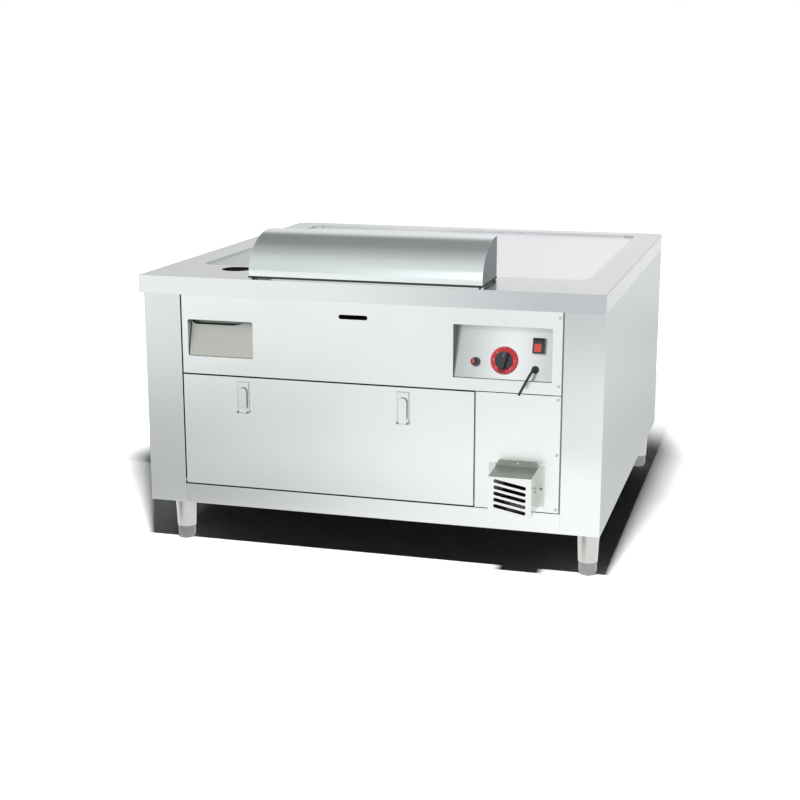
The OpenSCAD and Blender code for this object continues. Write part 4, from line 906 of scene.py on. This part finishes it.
# %% Fastener places and heads
def clusters(name, reach):
    """The (lowest, highest) corners of each separate lump of a CAD node."""
    lumps = []
    for corner in node[name].data.vertices:
        for lump in lumps:
            if (lump[0] - corner.co).length < reach:
                lump.append(corner.co.copy())
                break
        else:
            lumps.append([corner.co.copy()])
    ends = (min, max)
    return [[Vector([pick(c[i] for c in lump) for i in range(3)]) for pick in ends] for lump in lumps]


def block(shape, size, up=0.0):
    """Adds a box of the given size to a bmesh, its middle lifted along Z."""
    corners = bmesh.ops.create_cube(shape, size=1)["verts"]
    bmesh.ops.scale(shape, verts=corners, vec=size)
    bmesh.ops.translate(shape, verts=corners, vec=(0, 0, up))


def turned(profile, sides):
    """A mesh spun about Z from (radius, height) pairs."""
    across, over = Vector((1, 0, 0)), Vector((0, 1, 0))
    return skin([circle(Vector((0, 0, height)), across, over, radius, sides) for radius, height in profile])


SCREW_REACH, RIVET_REACH = 0.03, 0.012
SCREW_R, SCREW_H = 0.004, 0.002
SHANK_R, SHANK_LEN = 0.00175, 0.009
CROSS_W, CROSS_L, CROSS_DEEP = 0.0010, 0.0042, 0.0012
RIVET_R, RIVET_H = 0.0035, 0.0015
RIVET_SHANK_R, RIVET_SHANK_LEN = 0.0016, 0.0042

screw_mesh = turned([
    (0, -SHANK_LEN), (SHANK_R, -SHANK_LEN), (SHANK_R, 0), (SCREW_R, 0), (SCREW_R, 0.25 * SCREW_H),
    (0.94 * SCREW_R, 0.6 * SCREW_H), (0.78 * SCREW_R, 0.86 * SCREW_H), (0.5 * SCREW_R, 0.98 * SCREW_H),
    (0, SCREW_H),
], sides=28)
rivet_mesh = turned([
    (0, -RIVET_SHANK_LEN), (RIVET_SHANK_R, -RIVET_SHANK_LEN), (RIVET_SHANK_R, 0), (RIVET_R, 0),
    (RIVET_R, 0.15 * RIVET_H), (0.9 * RIVET_R, 0.55 * RIVET_H), (0.65 * RIVET_R, 0.9 * RIVET_H),
    (0.42 * RIVET_R, RIVET_H), (0.34 * RIVET_R, 0.92 * RIVET_H), (0.28 * RIVET_R, 0.45 * RIVET_H),
    (0, 0.45 * RIVET_H),
], sides=24)

cross = bmesh.new()
block(cross, (CROSS_L, CROSS_W, 2 * CROSS_DEEP), SCREW_H)
block(cross, (CROSS_W, CROSS_L, 2 * CROSS_DEEP), SCREW_H)
cross_bit = add_object("cross_bit", to_mesh(cross))
screw_head = add_object("screw_head", screw_mesh)
cut = screw_head.modifiers.new("cross", "BOOLEAN")
cut.object = cross_bit
cut.solver = "EXACT"
cut.use_self = True
screw_mesh = baked(screw_head)
for shape in (cross_bit, screw_head):
    bpy.data.objects.remove(shape)
print("screw head faces", len(screw_mesh.polygons), "rivet faces", len(rivet_mesh.polygons))

# %% Set the screws and rivets
def facing_turn(*outward):
    """The Euler turn that points a head's Z outwards."""
    return Vector(outward).to_track_quat("Z", "Y").to_euler()


screw_seats = []
for low, high in clusters("panel_screws", SCREW_REACH):
    middle = (low + high) / 2
    screw_seats.append((Vector((middle.x, low.y + SCREW_H, middle.z)), facing_turn(0, -1, 0)))

cowl_middle = (cowl_low + cowl_high) / 2
rivet_seats = []
for low, high in clusters("cowl_rivets", RIVET_REACH):
    middle = (low + high) / 2
    size = high - low
    if size.y < size.x:
        rivet_seats.append((Vector((middle.x, low.y + RIVET_H, middle.z)), facing_turn(0, -1, 0)))
    else:
        side = 1 if middle.x > cowl_middle.x else -1
        edge = (high.x if side > 0 else low.x) - side * RIVET_H
        rivet_seats.append((Vector((edge, middle.y, middle.z)), facing_turn(side, 0, 0)))

screws_mesh = repeated(screw_mesh, screw_seats, "fixing_steel")
add_piece("service_screws", screws_mesh, "cabinet", "inner_steel", "panel_screws")
rivets_mesh = repeated(rivet_mesh, rivet_seats, "rivet_steel")
add_piece("blind_rivets", rivets_mesh, "cabinet", "inner_steel", "cowl_rivets")
print("screws", len(screw_seats), "rivets", len(rivet_seats))

# %% [markdown]
# ## Dial marks
# The red skirt turns with the grip and carries the temperature scale. Its ticks are one small bar
# repeated along an arc, so the same tree makes them: points set out by angle, each with a bar turned to
# face the middle. The numbers are text made into mesh, laid round the same arc.

# %% Dial ticks
SKIRT_TOP = 0.0055
MARK_H = 0.0003
TICKS = 19
TICK_STEP = math.radians(15)
TICK_RADIUS = 0.0330
TICK_BAR = (0.0034, 0.0008, MARK_H)


def plate_place(out):
    """A frame over the dial's middle: X along the plate, Y up it, Z out of it."""
    axes = Matrix((Vector((1, 0, 0)), plate_up, plate_out)).transposed()
    return Matrix.Translation(dial_at + plate_out * out) @ axes.to_4x4()


tick_bar = bmesh.new()
block(tick_bar, TICK_BAR)
turns = [math.pi / 2 + TICK_STEP * count for count in range(TICKS)]
tick_seats = [((TICK_RADIUS * math.cos(a), TICK_RADIUS * math.sin(a), 0), (0, 0, a)) for a in turns]
ticks_mesh = repeated(to_mesh(tick_bar), tick_seats, "mark_pale")
ticks_mesh.transform(plate_place(SKIRT_TOP))
add_piece("dial_ticks", ticks_mesh, "knob", "black_plastic")

# %% Dial numbers and pointer
NUMBER_RADIUS = 0.0277
NUMBER_SIZE = 0.0052
NUMBER_STEP = math.radians(45)
NUMBERS = ("50", "100", "150", "200", "250", "300")
GRIP_TURN = math.radians(-12)
POINTER_TOP = 0.0275
POINTER = (0.0016, 0.0140, MARK_H)
POINTER_AT = 0.0120

numbers = bmesh.new()
for count, label in enumerate(NUMBERS):
    words = bpy.data.curves.new("number", "FONT")
    words.body = label
    words.size = NUMBER_SIZE
    words.align_x = "CENTER"
    words.align_y = "CENTER"
    words.extrude = MARK_H / 2
    holder = add_object("number", words)
    cut_out = baked(holder)
    bpy.data.objects.remove(holder)
    angle = (count + 1) * NUMBER_STEP
    cut_out.transform(Matrix.Rotation(angle, 4, "Z") @ Matrix.Translation((0, NUMBER_RADIUS, 0)))
    numbers.from_mesh(cut_out)
    bpy.data.meshes.remove(cut_out)
numbers_mesh = to_mesh(numbers)
numbers_mesh.transform(plate_place(SKIRT_TOP))
numbers_mesh.materials.append(finishes["mark_pale"])
add_piece("dial_numbers", numbers_mesh, "knob", "black_plastic")

stripe = bmesh.new()
block(stripe, POINTER)
bmesh.ops.bevel(stripe, geom=stripe.edges[:], offset=MARK_H / 4, segments=2, affect="EDGES")
stripe_mesh = to_mesh(stripe)
stripe_turn = Matrix.Rotation(GRIP_TURN, 4, "Z") @ Matrix.Translation((0, POINTER_AT, 0))
stripe_mesh.transform(plate_place(POINTER_TOP) @ stripe_turn)
stripe_mesh.materials.append(finishes["mark_grey"])
add_piece("grip_pointer", stripe_mesh, "knob", "black_plastic")
print("numbers", len(NUMBERS))

# %% [markdown]
# ## Rubber edging and latch outlines
# The hood's lower rim wears a black rubber edging, seen as a dark line between hood and worktop. Round each
# latch and its lever a thin grey strip stands out from the door: painted shade, the dark outline that the
# latch's edges show. All are one section swept along a flat path with mitred corners, so one helper makes
# them. The hood's edging stops short of the worktop, because the front rim swings down a little as the hood
# turns about its rod. Behind the rod the ends only rise, so there a lip closes the gap.

# %% Hood edging
def mitre(path, index, closed):
    """The outward mitre at a point of a flat path that runs anticlockwise."""
    count = len(path)
    normals = []
    for first, second in ((index - 1, index), (index, index + 1)):
        if closed or (first >= 0 and second < count):
            way = (path[second % count] - path[first % count]).normalized()
            normals.append(Vector((way.y, -way.x)))
    middle = sum(normals, Vector((0, 0))).normalized()
    return middle / middle.dot(normals[0])


def strip(path, section, place, finish, closed=False):
    """Sweeps (outward, up) pairs along a flat path; place turns (a, b, up) into a point."""
    shape = bmesh.new()
    loops = []
    for index, spot in enumerate(path):
        outward = mitre(path, index, closed)
        loops.append([shape.verts.new(place(*(spot + outward * out), up)) for out, up in section])
    for first, second in zip(loops, loops[1:] + loops[:1] if closed else loops[1:]):
        for step in range(len(section)):
            after = (step + 1) % len(section)
            shape.faces.new((first[step], first[after], second[after], second[step]))
    if not closed:
        shape.faces.new(loops[0])
        shape.faces.new(loops[-1])
    bmesh.ops.recalc_face_normals(shape, faces=shape.faces)
    made = to_mesh(shape)
    made.materials.append(finishes[finish])
    return made


RIM_UP, RIM_DOWN = 0.0030, 0.0028
RIM_OUT, RIM_IN = 0.0009, 0.0032
RIM_ROUND = 0.0010

hood_low, hood_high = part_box("hood_shell")
rim_path = [Vector(c) for c in (
    (hood_low.x, hood_high.y), (hood_low.x, hood_low.y),
    (hood_high.x, hood_low.y), (hood_high.x, hood_high.y),
)]
rim_section = [
    (RIM_OUT - RIM_ROUND / 2, RIM_UP), (-RIM_IN, RIM_UP), (-RIM_IN, RIM_ROUND - RIM_DOWN),
    (RIM_ROUND - RIM_IN, -RIM_DOWN), (RIM_OUT - RIM_ROUND, -RIM_DOWN), (RIM_OUT, RIM_ROUND - RIM_DOWN),
    (RIM_OUT, RIM_UP - RIM_ROUND / 2),
]


def under_hood(a, b, up):
    """A point below the hood's lower rim."""
    return a, b, hood_low.z + up


edging_mesh = strip(rim_path, rim_section, under_hood, "black_rubber")
add_piece("hood_edging", edging_mesh, "hood", "black_rubber")

LIP_DOWN = 0.0057
LIP_T = 0.0020
LIP_FRONT, LIP_BACK = -0.604, -0.476
lip_section = [
    (0, -RIM_ROUND), (-LIP_T, -RIM_ROUND), (-LIP_T, RIM_ROUND - LIP_DOWN), (-LIP_T / 2, -LIP_DOWN),
    (0, RIM_ROUND - LIP_DOWN),
]
for side, across, ends in (
    ("left", hood_low.x, (LIP_BACK, LIP_FRONT)), ("right", hood_high.x, (LIP_FRONT, LIP_BACK)),
):
    lip_mesh = strip([Vector((across, end)) for end in ends], lip_section, under_hood, "black_rubber")
    add_piece(f"hood_{side}_lip", lip_mesh, "hood", "black_rubber")
print("edging faces", len(edging_mesh.polygons))

# %% Latch shade outlines
SHADE_LINE_OUT = 0.0011
SHADE_LINE_H = 0.0028
LEVER_SHADE_LINE_OUT = 0.0007
LEVER_SHADE_LINE_H = 0.0044
LEVER_HALF = 0.0115
LEVER_UP = 0.064
LEVER_BACK = 0.0025
LEVER_FOOT = 0.010
ARCH_STEPS = 14

# painted shade: thin grey strips round each latch base and lever draw its dark outline
shade_line_section = [(0, 0), (SHADE_LINE_OUT, 0), (SHADE_LINE_OUT, 0.6 * SHADE_LINE_H), (0.5 * SHADE_LINE_OUT, SHADE_LINE_H), (0, SHADE_LINE_H)]
lever_section = [(0, 0), (LEVER_SHADE_LINE_OUT, 0), (LEVER_SHADE_LINE_OUT, LEVER_SHADE_LINE_H), (0, LEVER_SHADE_LINE_H)]
for side in ("left", "right"):
    low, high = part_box(f"latch_{side}_base")
    outline = [Vector(c) for c in ((low.x, low.z), (high.x, low.z), (high.x, high.z), (low.x, high.z))]
    base_mesh = strip(outline, shade_line_section, lambda a, b, up: (a, high.y - up, b), "seal_grey", True)
    add_piece(f"latch_{side}_seal", base_mesh, "door", "black_rubber")

    pivot = Vector(joint[f"latch_{side}_pivot"]["pos_m"])
    arch_mid = pivot.z + LEVER_UP - LEVER_HALF
    turns = [math.pi * step / ARCH_STEPS for step in range(ARCH_STEPS + 1)]
    bow = [(LEVER_HALF * math.cos(a), arch_mid + LEVER_HALF * math.sin(a)) for a in turns]
    foot = pivot.z + LEVER_FOOT
    arch = [Vector((pivot.x + a, b)) for a, b in ((LEVER_HALF, foot), *bow, (-LEVER_HALF, foot))]
    lever_mesh = strip(arch, lever_section, lambda a, b, up: (a, pivot.y + LEVER_BACK - up, b), "seal_grey")
    add_piece(f"latch_{side}_rim", lever_mesh, f"latch_{side}", "black_rubber")

# %% [markdown]
# ## Finger channel of the drawer
# The drawer has no handle: fingers reach through the notch in its leaning front. Behind the notch a folded
# sheet makes a channel to pull on; its dark steel is painted shade, the dark the notch shows. It is the
# same sweep, straight across.

# %% Finger channel
PULL_BACK = -0.5795
PULL_LOW, PULL_HIGH = 0.657, 0.679
PULL_DEEP = 0.0165
PULL_T = 0.001
PULL_BEND = 0.002
PULL_SIDE = 0.002

drawer_low, drawer_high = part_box("scrap_drawer")
pull_section = [
    (0, PULL_HIGH), (0, PULL_LOW), (PULL_DEEP, PULL_LOW), (PULL_DEEP, PULL_LOW + PULL_T),
    (PULL_T + PULL_BEND, PULL_LOW + PULL_T),
    (PULL_T + 0.3 * PULL_BEND, PULL_LOW + PULL_T + 0.3 * PULL_BEND),
    (PULL_T, PULL_LOW + PULL_T + PULL_BEND), (PULL_T, PULL_HIGH),
]
pull_path = [Vector((drawer_low.x + PULL_SIDE, 0)), Vector((drawer_high.x - PULL_SIDE, 0))]
pull_mesh = strip(pull_path, pull_section, lambda a, b, up: (a, PULL_BACK + b, up), "pull_steel")
add_piece("drawer_pull", pull_mesh, "drawer", "drawer_steel")
print("finger channel", round(pull_path[1].x - pull_path[0].x, 3), "m long")
